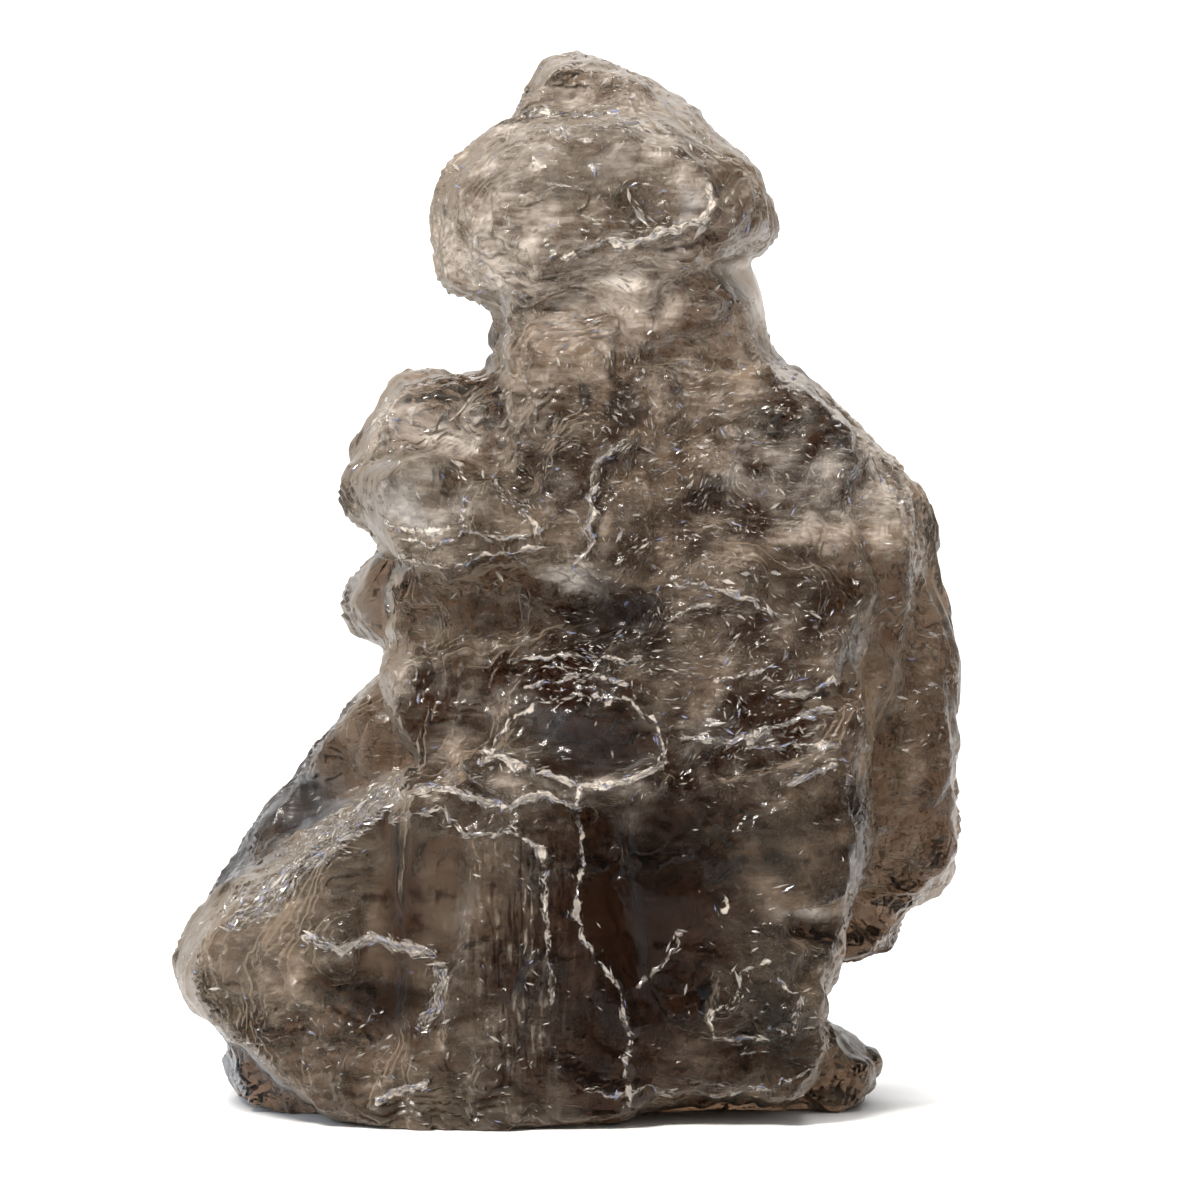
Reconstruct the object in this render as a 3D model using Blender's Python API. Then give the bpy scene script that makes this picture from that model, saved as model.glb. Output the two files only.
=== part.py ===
"""A smoky selenite specimen: blocks and lens-shaped crystals grown together into one upright mass.

Metres, +Z up. The specimen faces -Y, rests on a flat base in the plane z = 0, and its origin is
the middle of the bottom of its bounding box. Each crystal is a hull with flat faces. The crystals
are united, their front and back are broken into the flat terraces of the cleavage, and the base
is cut level.
"""
import bmesh
import bpy
import numpy as np

# Driving dimensions, in millimetres
MM = 0.001
GRAIN = 0.38                # cell size at which the crystals are united
SKIN_GRAIN = 0.22           # cell size of the skin that is laid over the broken surface
TARGET_TRIANGLES = 9700     # faces that the finished solid keeps
BASE_SINK = 6.0             # depth of the block that trims the base
TRIM_REACH = 80.0           # width of that block

# Cleavages: the direction square to the layers, the height of the broad and of the narrow steps,
# how far the layers wander in depth, the share of those waves that the flats keep, and how square
# to the layers a face is when steps begin and are full. The flat layers lie almost square to Y, a
# weaker set breaks the flanks, and the weakest one the tops and undersides.
CLEAVAGES = (
    dict(square=(0.10, -0.99, 0.06), broad=1.3, narrow=0.65, warp=1.8, kept=0.35, facing=(0.25, 0.7)),
    dict(square=(0.95, 0.16, 0.27), broad=0.9, narrow=0.6, warp=1.2, kept=1.0, facing=(0.62, 0.85)),
    dict(square=(-0.24, 0.14, 0.96), broad=0.7, narrow=0.5, warp=0.9, kept=1.0, facing=(0.62, 0.85)),
)
RISER_SHARE = 0.15          # share of a step's height that is its riser
CLEAVAGE_WARP_SIZE = 7.5    # how long the layers' waves are
PATCH_SIZE = 6.0            # size of the patches with broad or narrow steps
PATCH_BLEND = 0.25          # how softly one kind gives way to the other

# Cleavage plates: angular flakes left standing on the front and back faces, their edges upright
# or along the slope of the second cleavage
PLATE_SLOPE = 0.66          # slope of the second cleavage, in radians
PLATE_PROUD = (0.3, 1.0)    # how far a plate stands out
PLATE_ROOT = 2.2            # how deep it is rooted
PLATE_UPRIGHT = (1.2, 4.2)  # half length of its upright edges
PLATE_SLOPING = (0.8, 2.6)  # half length of its sloping edges
PLATE_TILT = 0.12           # most that it leans
PLATE_TAPER = 0.9           # size of its top against its root
PLATE_CHOP = (0.35, 0.9)    # how far its blunted corners reach
PLATE_SPREAD = 0.35         # below 1 the plates gather near the corners of a face
PLATE_MARGIN = 0.93         # share of a crystal's width that its plates may reach
PLATE_SEED = 5

# Growth ridges run up the sides, along Z
RIDGE_DEPTH = 0.3
RIDGE_WIDTH = 1.3
RIDGE_LENGTH = 14.0
RIDGE_FACING = (0.6, 0.9)   # how square to the first cleavage a face is when they fade and end

# Solution dimples all over
DIMPLE_DEPTH = 0.16
DIMPLE_SIZE = 2.4

# Noise: each layer's seed, the length of its table and the multipliers that mix a cell's place
WARP_SEED, PATCH_SEED, RIDGE_SEED, DIMPLE_SEED = 11, 12, 13, 14
NOISE_VALUES = 4096
CELL_MIX = (73856093, 19349663, 83492791)

# Each crystal: depth of its front, widest section and back (Y), how far its front and back
# faces are drawn in, its lean (Y gained per mm of X and of Z), and its outline seen from the
# front as (X, Z) corners in millimetres.
CRYSTALS = {
    # Cap: the pale top, three plates deep
    "cap_front": dict(
        depth=(-9.5, -3.5, 3.0), draw=(0.74, 0.9), lean=(0.05, 0.12),
        outline=[(-7.9, 51.2), (-7.8, 53.9), (-7.0, 56.4), (-4.7, 58.6), (-1.0, 60.0), (4.6, 60.0),
                 (8.2, 58.7), (11.0, 56.7), (11.0, 53.5), (7.6, 52.0), (2.2, 49.3), (-2.6, 47.4),
                 (-4.4, 47.8), (-6.8, 49.0)]),
    "cap_peak": dict(
        depth=(-4.0, 2.0, 7.5), draw=(0.8, 0.7), lean=(0.0, 0.05),
        outline=[(-3.6, 59.2), (-2.6, 61.0), (-2.0, 62.2), (-1.1, 63.0), (0.2, 63.3), (1.7, 63.0),
                 (4.6, 61.7), (7.6, 59.7), (9.3, 58.2), (8.2, 54.4), (0.0, 53.0), (-3.8, 55.6)]),
    "cap_right": dict(
        depth=(-6.0, 1.5, 8.0), draw=(0.7, 0.75), lean=(0.25, 0.0),
        outline=[(4.6, 61.0), (9.3, 58.4), (11.8, 56.0), (12.5, 54.4), (13.0, 52.4), (12.3, 51.4),
                 (10.6, 50.6), (7.6, 49.9), (2.8, 50.2), (2.2, 57.4)]),
    "cap_rim": dict(
        depth=(-8.0, -3.0, 2.0), draw=(0.75, 0.8), lean=(-0.1, 0.0),
        outline=[(-7.8, 50.6), (-7.8, 52.2), (-7.2, 52.6), (-5.0, 52.6), (-4.2, 48.4), (-6.6, 48.8),
                 (-7.6, 49.6)]),
    "cap_brim": dict(
        depth=(-8.6, -5.5, -1.0), draw=(0.8, 0.9), lean=(0.0, 0.0),
        outline=[(-1.5, 48.2), (2.0, 50.8), (7.6, 53.2), (11.0, 54.0), (10.6, 52.4), (7.4, 51.4),
                 (2.4, 49.0), (-1.0, 47.4)]),

    # Neck: the narrow waist, with a clear nodule and two small spikes
    "nodule": dict(
        depth=(1.5, 5.5, 9.0), draw=(0.6, 0.6), lean=(0.0, 0.0),
        outline=[(8.2, 50.6), (11.0, 50.8), (11.7, 50.1), (12.1, 48.6), (12.5, 46.5), (12.2, 45.7),
                 (10.7, 45.2), (8.3, 45.9)]),
    "neck": dict(
        depth=(-7.6, 0.0, 6.5), draw=(0.84, 0.8), lean=(0.2, -0.08),
        outline=[(-4.4, 48.6), (-2.6, 49.6), (8.2, 51.4), (11.2, 48.6), (12.4, 45.7), (11.8, 41.2),
                 (4.6, 38.0), (-1.4, 39.0), (-3.6, 42.4), (-3.9, 45.1)]),
    "spike_upper": dict(
        depth=(-2.2, -0.8, 1.0), draw=(0.6, 0.6), lean=(0.0, 0.0),
        outline=[(-5.0, 46.5), (-4.8, 47.0), (-3.4, 46.9), (-1.4, 46.6), (-1.8, 44.8), (-3.5, 45.5)]),
    "spike_lower": dict(
        depth=(-2.4, -1.0, 0.8), draw=(0.6, 0.6), lean=(0.0, 0.0),
        outline=[(-5.0, 44.6), (-3.8, 45.0), (-1.4, 45.4), (-1.4, 42.8), (-3.5, 43.5), (-4.8, 44.1)]),

    # Left shoulder: a block with a broad lens in front of it
    "shoulder_block": dict(
        depth=(-6.0, 0.0, 6.0), draw=(0.82, 0.8), lean=(-0.1, 0.1),
        outline=[(-13.1, 38.6), (-12.7, 40.0), (-11.6, 41.6), (-10.9, 42.8), (-10.0, 43.7), (-7.4, 43.5),
                 (-4.6, 43.9), (-1.4, 44.1), (2.2, 41.2), (2.2, 37.4), (-2.6, 36.6), (-9.8, 36.8)]),
    "shoulder_lens": dict(
        depth=(-11.0, -4.0, 2.5), draw=(0.62, 0.8), lean=(-0.12, 0.06),
        outline=[(-13.7, 37.0), (-13.1, 38.6), (-12.0, 39.6), (-8.5, 40.2), (-4.9, 40.1), (-1.4, 38.6),
                 (1.0, 35.4), (1.6, 32.4), (-2.6, 31.2), (-7.3, 31.6), (-10.0, 33.2), (-11.4, 34.4),
                 (-12.9, 35.6)]),
    "left_nub": dict(
        depth=(-1.0, 4.0, 9.0), draw=(0.75, 0.7), lean=(0.0, 0.0),
        outline=[(-13.5, 29.7), (-13.1, 30.8), (-12.3, 32.0), (-11.4, 33.4), (-9.9, 34.3), (-3.8, 34.0),
                 (-2.6, 30.2), (-3.8, 27.6), (-8.7, 26.6), (-11.4, 27.2), (-13.0, 28.2)]),

    # Trunk: the broad body behind everything
    "core": dict(
        depth=(-7.5, 2.0, 11.0), draw=(0.8, 0.75), lean=(0.12, -0.03),
        outline=[(-3.8, 41.0), (-0.2, 44.8), (8.2, 46.6), (12.8, 45.2), (15.2, 42.8), (17.6, 40.5),
                 (20.4, 38.1), (21.6, 36.8), (22.4, 34.0), (22.4, 30.3), (21.5, 24.3), (19.1, 19.4),
                 (8.2, 18.2), (-2.6, 19.4), (-5.6, 24.3), (-5.0, 32.7)]),
    "chest": dict(
        depth=(-9.6, -5.5, 0.0), draw=(0.8, 0.9), lean=(0.06, 0.2),
        outline=[(-3.1, 43.2), (-0.2, 45.5), (4.6, 46.1), (9.3, 44.9), (11.7, 41.4), (10.5, 35.5),
                 (8.1, 31.9), (2.2, 30.7), (-1.4, 33.0), (-2.8, 37.8)]),
    "throat": dict(
        depth=(-8.8, -4.0, 1.0), draw=(0.8, 0.9), lean=(0.1, 0.22),
        outline=[(-4.0, 46.4), (0.0, 48.4), (5.5, 48.0), (7.5, 45.0), (5.0, 38.0), (1.0, 35.5),
                 (-3.4, 38.0), (-4.2, 42.5)]),
    "waist": dict(
        depth=(-9.6, -5.0, 0.0), draw=(0.9, 0.95), lean=(0.1, 0.05),
        outline=[(2.4, 35.0), (9.0, 36.4), (17.5, 35.0), (19.0, 31.0), (17.0, 28.0), (6.0, 28.5),
                 (3.6, 31.0)]),
    "armpit": dict(
        depth=(-8.0, -3.0, 2.0), draw=(0.85, 0.9), lean=(-0.12, 0.0),
        outline=[(-10.6, 32.0), (-8.0, 34.0), (-2.0, 34.5), (1.0, 31.0), (-1.0, 27.5), (-8.6, 26.8),
                 (-10.6, 28.6)]),
    "right_face": dict(
        depth=(-8.0, -2.0, 5.0), draw=(0.75, 0.85), lean=(0.3, 0.1),
        outline=[(5.8, 44.8), (10.6, 45.7), (14.1, 44.0), (17.2, 40.8), (19.9, 38.4), (18.9, 34.1),
                 (11.8, 32.9), (7.0, 35.3)]),
    "mid_shelf": dict(
        depth=(-10.9, -6.0, 1.0), draw=(0.84, 0.9), lean=(0.14, -0.02),
        outline=[(1.6, 31.3), (5.8, 33.1), (11.7, 34.0), (16.4, 33.1), (17.6, 30.7), (17.8, 27.7),
                 (16.7, 24.8), (11.7, 23.0), (5.8, 22.4), (2.2, 24.8)]),
    "shelf_foot": dict(
        depth=(-10.9, -6.0, 0.0), draw=(0.92, 0.95), lean=(0.12, 0.12),
        outline=[(4.6, 25.6), (10.0, 26.6), (17.6, 27.0), (18.2, 23.0), (17.6, 19.4), (9.0, 18.0),
                 (4.8, 19.0)]),
    "back_mass": dict(
        depth=(1.0, 8.0, 13.5), draw=(0.9, 0.62), lean=(-0.05, 0.06),
        outline=[(-8.7, 32.5), (2.2, 37.4), (14.4, 37.4), (20.4, 32.5), (20.5, 16.6), (12.0, 11.7),
                 (-2.7, 9.3), (-8.8, 16.6)]),
    "back_shoulder": dict(
        depth=(0.0, 5.0, 10.5), draw=(0.9, 0.6), lean=(0.1, 0.1),
        outline=[(-9.5, 42.5), (-1.5, 43.5), (9.0, 45.8), (14.5, 42.0), (18.0, 36.0), (6.0, 31.0),
                 (-8.0, 30.5), (-11.5, 37.0)]),

    # Middle front: a dome, its lens, a frosted corner and the ledge below them
    "dome": dict(
        depth=(-11.0, -7.0, 0.0), draw=(0.8, 0.9), lean=(0.0, 0.1),
        outline=[(-4.6, 21.6), (-4.7, 24.8), (-3.7, 28.4), (-1.3, 30.2), (2.2, 30.8), (4.6, 28.4),
                 (6.2, 24.8), (6.2, 20.4), (1.6, 20.0), (-2.5, 20.6)]),
    "dome_lens": dict(
        depth=(-12.6, -11.0, -8.0), draw=(0.86, 0.95), lean=(0.0, 0.14),
        outline=[(-4.0, 21.8), (-3.2, 23.6), (-1.2, 24.9), (1.6, 25.4), (4.2, 24.9), (5.9, 23.2),
                 (6.0, 20.8), (0.7, 20.3), (-1.9, 21.0)]),
    "left_flank": dict(
        depth=(-9.2, -3.0, 4.0), draw=(0.72, 0.9), lean=(-0.2, 0.05),
        outline=[(-11.0, 27.3), (-9.7, 28.0), (-5.6, 29.1), (-2.6, 30.6), (-1.4, 24.6), (-2.6, 19.2),
                 (-7.9, 20.2), (-9.3, 22.0), (-10.1, 24.0), (-11.1, 25.8)]),
    "frosted_corner": dict(
        depth=(-7.8, -4.5, 0.0), draw=(0.7, 0.8), lean=(0.0, 0.0),
        outline=[(-11.1, 26.9), (-10.4, 27.7), (-7.9, 27.9), (-6.9, 26.5), (-7.6, 24.8), (-9.1, 24.4),
                 (-10.4, 25.2)]),
    "ledge": dict(
        depth=(-13.9, -12.0, -4.0), draw=(0.96, 1.0), lean=(0.03, 0.1),
        outline=[(-6.6, 22.0), (0.2, 20.7), (6.3, 20.9), (6.6, 19.9), (1.0, 19.2), (-5.4, 20.6)]),

    # Foot: the dark block, the wedge that points left, and what lies behind them
    "block_right": dict(
        depth=(-12.2, -6.0, 2.0), draw=(0.86, 0.95), lean=(0.06, -0.04),
        outline=[(0.4, 19.5), (6.1, 20.5), (10.8, 20.9), (16.8, 23.4), (18.1, 19.4), (17.8, 14.5),
                 (15.4, 11.8), (14.0, 1.8), (12.6, 0.6), (0.4, 0.2)]),
    "block_left": dict(
        depth=(-13.4, -8.0, 2.0), draw=(0.88, 0.95), lean=(0.03, 0.03),
        outline=[(-9.7, 20.8), (-4.9, 21.3), (0.9, 19.6), (1.6, 12.9), (3.4, 9.3), (4.4, 4.5),
                 (4.4, 0.2), (-4.9, -1.4), (-9.7, -1.8), (-10.3, 12.9)]),
    "flake_stack": dict(
        depth=(-11.4, -8.0, -2.0), draw=(0.74, 0.9), lean=(0.08, 0.0),
        outline=[(8.1, 1.4), (9.4, 5.0), (9.6, 8.4), (13.6, 11.3), (15.3, 10.5), (15.5, 7.2),
                 (15.2, 3.6), (14.9, 2.3), (12.8, 1.0)]),
    "wedge": dict(
        depth=(-11.2, -2.5, 4.5), draw=(0.8, 0.9), lean=(-0.22, 0.08),
        outline=[(-23.8, 8.1), (-23.4, 9.6), (-22.1, 11.9), (-20.3, 13.8), (-15.7, 16.9), (-9.7, 20.4),
                 (-5.0, 20.4), (-0.2, 18.6), (0.4, -1.5), (-9.8, -2.0), (-14.0, -0.8), (-17.5, 2.8),
                 (-20.0, 5.0), (-22.4, 5.8), (-23.5, 6.9)]),
    "lower_lobe": dict(
        depth=(-4.5, 0.5, 6.5), draw=(0.8, 0.85), lean=(-0.05, 0.0),
        outline=[(-20.8, 2.6), (-20.6, 3.7), (-19.8, 4.9), (-14.6, 6.4), (-8.6, 5.9), (-8.0, -1.2),
                 (-14.8, -1.2), (-18.9, 0.2), (-20.2, 1.2)]),
    "back_left": dict(
        depth=(0.0, 5.5, 11.0), draw=(0.9, 0.72), lean=(-0.08, 0.08),
        outline=[(-23.3, 9.6), (-21.6, 12.3), (-20.6, 13.7), (-19.2, 16.1), (-17.3, 18.6), (-14.6, 22.2),
                 (-12.4, 24.6), (-11.1, 26.3), (-7.5, 27.7), (-2.7, 24.1), (-1.4, 5.0), (-14.0, 3.0),
                 (-22.7, 6.6)]),
    "column": dict(
        depth=(-3.0, 4.0, 11.5), draw=(0.82, 0.8), lean=(0.1, 0.0),
        outline=[(14.3, 30.2), (17.9, 32.8), (22.4, 32.0), (22.5, 30.5), (23.2, 29.3), (23.6, 26.9),
                 (23.7, 20.0), (23.6, 16.2), (23.6, 13.8), (23.0, 12.5), (20.7, 11.2), (14.3, 11.7),
                 (13.7, 20.5)]),
    "column_foot": dict(
        depth=(-1.0, 4.5, 9.5), draw=(0.8, 0.8), lean=(0.0, 0.0),
        outline=[(13.0, 13.6), (20.8, 12.0), (20.3, 10.4), (20.0, 9.3), (18.5, 8.7), (16.2, 8.3),
                 (14.0, 8.4), (12.4, 10.7)]),
    "toe": dict(
        depth=(-3.5, 1.0, 7.0), draw=(0.8, 0.8), lean=(0.0, -0.1),
        outline=[(9.0, -1.2), (10.8, 3.4), (13.8, 6.0), (16.0, 4.4), (17.2, 3.7), (18.5, 3.1),
                 (18.8, 2.3), (18.7, 1.4), (17.8, 0.2), (16.1, -1.0)]),
    "underside": dict(
        depth=(-3.0, 2.0, 9.5), draw=(0.85, 0.8), lean=(0.0, 0.0),
        outline=[(-15.5, 5.6), (-6.0, 14.0), (12.0, 14.0), (13.7, 11.0), (13.0, 4.5), (11.5, -1.5),
                 (-11.5, -1.5)]),
}

# How many plates stand on each crystal's front (first) and back (second)
PLATES = {
    "cap_front": (7, 0), "cap_peak": (2, 6), "cap_right": (3, 6), "neck": (9, 7),
    "shoulder_block": (5, 6), "shoulder_lens": (5, 0), "left_nub": (2, 4), "core": (12, 10),
    "chest": (10, 0), "throat": (8, 0), "waist": (8, 0), "armpit": (5, 0), "right_face": (9, 0),
    "mid_shelf": (9, 0), "shelf_foot": (7, 0), "dome": (6, 0), "left_flank": (6, 0),
    "back_mass": (0, 16), "back_shoulder": (0, 9), "block_right": (7, 0), "block_left": (5, 0),
    "flake_stack": (5, 0), "wedge": (8, 0), "lower_lobe": (3, 5), "back_left": (2, 12),
    "column": (5, 8), "toe": (2, 3), "underside": (0, 8),
}

# Hollows between the crystals: middle (X, Y, Z) and half widths, in millimetres
HOLLOW_SHOULDER = 0.68      # how square a hollow is, from 0.5 for a diamond to 1 for a box
HOLLOWS = {
    "window_hollow": dict(middle=(2.2, -12.2, 30.2), half=(4.2, 3.4, 1.7)),
    "chest_hollow": dict(middle=(9.4, -11.4, 36.4), half=(3.4, 3.0, 1.6)),
    "neck_hollow": dict(middle=(6.6, -9.4, 45.4), half=(3.0, 2.6, 1.3)),
    "flake_notch": dict(middle=(14.8, -12.2, 12.0), half=(2.2, 2.6, 1.3)),
    "lens_notch": dict(middle=(-9.6, -9.4, 29.6), half=(3.0, 3.2, 1.5)),
    "back_hollow": dict(middle=(0.5, 14.0, 24.0), half=(3.5, 2.6, 5.0)),
    "back_notch": dict(middle=(12.0, 13.5, 14.0), half=(3.0, 3.5, 2.5)),
}

STONE_COLOUR = (0.155, 0.118, 0.085, 1.0)
STONE_ROUGHNESS = 0.28
STONE_METALLIC = 0.0


def clear_scene():
    """Take out every object, so that the build starts empty."""
    for item in list(bpy.data.objects):
        bpy.data.objects.remove(item, do_unlink=True)


def stone_material():
    """Smoky brown selenite."""
    material = bpy.data.materials.new("smoky_selenite")
    material.use_nodes = True
    shader = material.node_tree.nodes["Principled BSDF"]
    shader.inputs["Base Color"].default_value = STONE_COLOUR
    shader.inputs["Roughness"].default_value = STONE_ROUGHNESS
    shader.inputs["Metallic"].default_value = STONE_METALLIC
    return material


def crystal_corners(crystal):
    """Corners of one crystal: its outline at its widest section, and drawn in at front and back."""
    outline = np.array(crystal["outline"])
    middle = outline.mean(axis=0)
    lean_x, lean_z = crystal["lean"]
    front, widest, back = crystal["depth"]
    draw_front, draw_back = crystal["draw"]
    rings = []
    for depth, draw in ((front, draw_front), (widest, 1.0), (back, draw_back)):
        ring = middle + (outline - middle) * draw
        offset = ring - middle
        y = depth + lean_x * offset[:, 0] + lean_z * offset[:, 1]
        rings.append(np.column_stack((ring[:, 0], y, ring[:, 1])))
    return np.concatenate(rings) * MM


def inside(points, ring):
    """Points drawn towards the middle of a ring of corners until they lie inside its edges."""
    along = np.roll(ring, -1, axis=0) - ring
    outward = np.column_stack((along[:, 1], -along[:, 0]))
    reach = (outward * ring).sum(axis=1)
    outward = outward * np.sign(reach)[:, None]
    excess = ((points @ outward.T) / np.abs(reach)).max(axis=1)
    return points / np.maximum(excess / PLATE_MARGIN, 1.0)[:, None]


def plate_corners(rng, crystal, side):
    """Corners of one angular plate on a crystal's front (side -1) or back (side 1) face.

    Its middle is a random blend of the outline's corners, so it always lies on the face. Its edges
    run upright and along the slope of the second cleavage, and its far side is a little smaller.
    """
    outline = np.array(crystal["outline"])
    middle = outline.mean(axis=0)
    draw = crystal["draw"][0 if side < 0 else 1]
    ring = (outline - middle) * draw
    place = rng.dirichlet(np.full(len(ring), PLATE_SPREAD)) @ ring
    lean_x, lean_z = crystal["lean"]
    face = crystal["depth"][0 if side < 0 else 2] + lean_x * place[0] + lean_z * place[1]
    upright = np.array((0.0, rng.uniform(*PLATE_UPRIGHT)))
    sloping = np.array((np.cos(PLATE_SLOPE), np.sin(PLATE_SLOPE))) * rng.uniform(*PLATE_SLOPING)
    cut = rng.uniform(*PLATE_CHOP)
    corners = np.array((upright + sloping, upright - sloping * cut, upright * cut - sloping,
                        -upright - sloping, sloping * cut - upright, sloping - upright * cut))
    proud = rng.uniform(*PLATE_PROUD)
    tilt = rng.uniform(-PLATE_TILT, PLATE_TILT, 2)
    rings = []
    for depth, size in ((side * proud, PLATE_TAPER), (-side * PLATE_ROOT, 1.0)):
        y = face + depth + corners @ tilt
        flat = middle + inside(place + corners * size, outline - middle)
        rings.append(np.column_stack((flat[:, 0], y, flat[:, 1])))
    return np.concatenate(rings) * MM


def all_plates():
    """Corners of every plate, crystal by crystal, from one seeded stream."""
    rng = np.random.default_rng(PLATE_SEED)
    plates = []
    for name, counts in PLATES.items():
        for side, count in zip((-1, 1), counts):
            plates += [plate_corners(rng, CRYSTALS[name], side) for _ in range(count)]
    return plates


def hull_mesh(name, corners):
    """Closed mesh of the convex hull of some corners."""
    shape = bmesh.new()
    for corner in corners:
        shape.verts.new(corner)
    made = bmesh.ops.convex_hull(shape, input=shape.verts)
    loose = [item for item in made["geom_interior"] if isinstance(item, bmesh.types.BMVert)]
    bmesh.ops.delete(shape, geom=loose, context="VERTS")
    bmesh.ops.recalc_face_normals(shape, faces=shape.faces)
    mesh = bpy.data.meshes.new(name)
    shape.to_mesh(mesh)
    shape.free()
    return mesh


def box_corners(middle, half):
    """Eight corners of a box."""
    signs = np.array([(a, b, c) for a in (-1, 1) for b in (-1, 1) for c in (-1, 1)])
    return (np.array(middle) + signs * np.array(half)) * MM


def hollow_corners(hollow):
    """Corners of a cut diamond: the six tips of a box's axes and the box drawn in."""
    middle = np.array(hollow["middle"])
    half = np.array(hollow["half"])
    tips = np.concatenate((middle + np.diag(half), middle - np.diag(half))) * MM
    return np.concatenate((tips, box_corners(middle, half * HOLLOW_SHOULDER)))


def add_object(name, mesh):
    """Put a mesh in the scene under a name."""
    item = bpy.data.objects.new(name, mesh)
    bpy.context.scene.collection.objects.link(item)
    return item


def add_cutter(name, mesh):
    """A shape that only cuts: hidden from the finished part."""
    cutter = add_object(name, mesh)
    cutter.hide_render = True
    cutter.display_type = "WIRE"
    return cutter


def evaluated_mesh(item):
    """Mesh of an object after its modifiers."""
    graph = bpy.context.evaluated_depsgraph_get()
    return bpy.data.meshes.new_from_object(item.evaluated_get(graph))


def joined_hulls(corner_sets):
    """One mesh that holds several overlapping hulls."""
    shape = bmesh.new()
    for corners in corner_sets:
        piece = hull_mesh("hull", corners)
        shape.from_mesh(piece)
        bpy.data.meshes.remove(piece)
    mesh = bpy.data.meshes.new("hulls")
    shape.to_mesh(mesh)
    shape.free()
    return mesh


def united_mass():
    """All crystals as one closed skin, with the hollows cut out of it."""
    crystals = [crystal_corners(item) for item in CRYSTALS.values()]
    mass = add_object("mass", joined_hulls(crystals + all_plates()))
    unite = mass.modifiers.new("unite", "REMESH")
    unite.mode = "VOXEL"
    unite.voxel_size = GRAIN * MM
    for name, hollow in HOLLOWS.items():
        cutter = add_cutter(name, hull_mesh(name, hollow_corners(hollow)))
        cut = mass.modifiers.new(name, "BOOLEAN")
        cut.operation = "DIFFERENCE"
        cut.solver = "EXACT"
        cut.object = cutter
    even = mass.modifiers.new("even", "REMESH")
    even.mode = "VOXEL"
    even.voxel_size = GRAIN * MM
    return mass


def smooth_noise(points, size, seed):
    """Smooth noise from -1 to 1: random lattice values, blended between the lattice's corners.

    points are in millimetres, and size is the lattice's spacing, one number or one for each axis.
    """
    table = np.random.default_rng(seed).uniform(-1.0, 1.0, NOISE_VALUES)
    place = points / np.asarray(size, dtype=float)
    cell = np.floor(place).astype(np.int64)
    part = place - cell
    part = part * part * (3.0 - 2.0 * part)
    total = np.zeros(len(points))
    for dx in (0, 1):
        for dy in (0, 1):
            for dz in (0, 1):
                mixed = (cell + (dx, dy, dz)) * CELL_MIX
                key = mixed[:, 0] ^ mixed[:, 1] ^ mixed[:, 2]
                weight = (np.abs(1 - dx - part[:, 0]) * np.abs(1 - dy - part[:, 1])
                          * np.abs(1 - dz - part[:, 2]))
                total += table[key % NOISE_VALUES] * weight
    return total


def staircase(depth, step):
    """Depth turned into flat steps, each at the middle of its layer, joined by short risers."""
    whole = np.floor(depth / step)
    rise = (depth / step - whole - (1.0 - RISER_SHARE)) / RISER_SHARE
    middle = (1.0 - RISER_SHARE) / 2
    return (whole + middle + np.clip(rise, 0.0, 1.0)) * step


def smoothstep(value, low, high):
    """0 below low, 1 above high, eased between."""
    share = np.clip((value - low) / (high - low), 0.0, 1.0)
    return share * share * (3.0 - 2.0 * share)


def direction(values):
    """Values scaled to a length of 1."""
    return np.array(values) / np.linalg.norm(values)


def terraces(points, normals, cleavage, wave, patch):
    """How far each point moves to lie on one cleavage's steps, broad where the patch is 1."""
    square = direction(cleavage["square"])
    warp = cleavage["warp"] * wave
    depth = points @ square + warp
    kept = depth - (1.0 - cleavage["kept"]) * warp
    broad = staircase(depth, cleavage["broad"]) - kept
    narrow = staircase(depth, cleavage["narrow"]) - kept
    shift = broad * patch + narrow * (1.0 - patch)
    shift *= smoothstep(np.abs(normals @ square), *cleavage["facing"])
    return square * shift[:, None]


def broken_surface(points, normals):
    """Points moved to make the terraces, the growth ridges and the dimples. All in millimetres."""
    wave = smooth_noise(points, CLEAVAGE_WARP_SIZE, WARP_SEED)
    patch = smoothstep(smooth_noise(points, PATCH_SIZE, PATCH_SEED), -PATCH_BLEND, PATCH_BLEND)
    steps = sum(terraces(points, normals, cleavage, wave, patch) for cleavage in CLEAVAGES)
    ridge_size = (RIDGE_WIDTH, RIDGE_WIDTH, RIDGE_LENGTH)
    ridge = RIDGE_DEPTH * smooth_noise(points, ridge_size, RIDGE_SEED)
    facing = np.abs(normals @ direction(CLEAVAGES[0]["square"]))
    ridge *= 1.0 - smoothstep(facing, *RIDGE_FACING)
    dimple = DIMPLE_DEPTH * smooth_noise(points, DIMPLE_SIZE, DIMPLE_SEED)
    return points + steps + normals * (ridge + dimple)[:, None]


def break_surface(mesh):
    """Apply the broken surface to a fine mesh."""
    count = len(mesh.vertices)
    points = np.empty(count * 3)
    normals = np.empty(count * 3)
    mesh.vertices.foreach_get("co", points)
    mesh.vertices.foreach_get("normal", normals)
    moved = broken_surface(points.reshape(-1, 3) / MM, normals.reshape(-1, 3)) * MM
    mesh.vertices.foreach_set("co", moved.ravel())
    mesh.update()


def centred(mesh):
    """Move a mesh so that its bounding box is centred on the Z axis; its height stays."""
    count = len(mesh.vertices)
    points = np.empty(count * 3)
    mesh.vertices.foreach_get("co", points)
    points = points.reshape(-1, 3)
    middle = (points.min(axis=0) + points.max(axis=0)) / 2
    points[:, :2] -= middle[:2]
    mesh.vertices.foreach_set("co", points.ravel())
    mesh.update()


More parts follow.
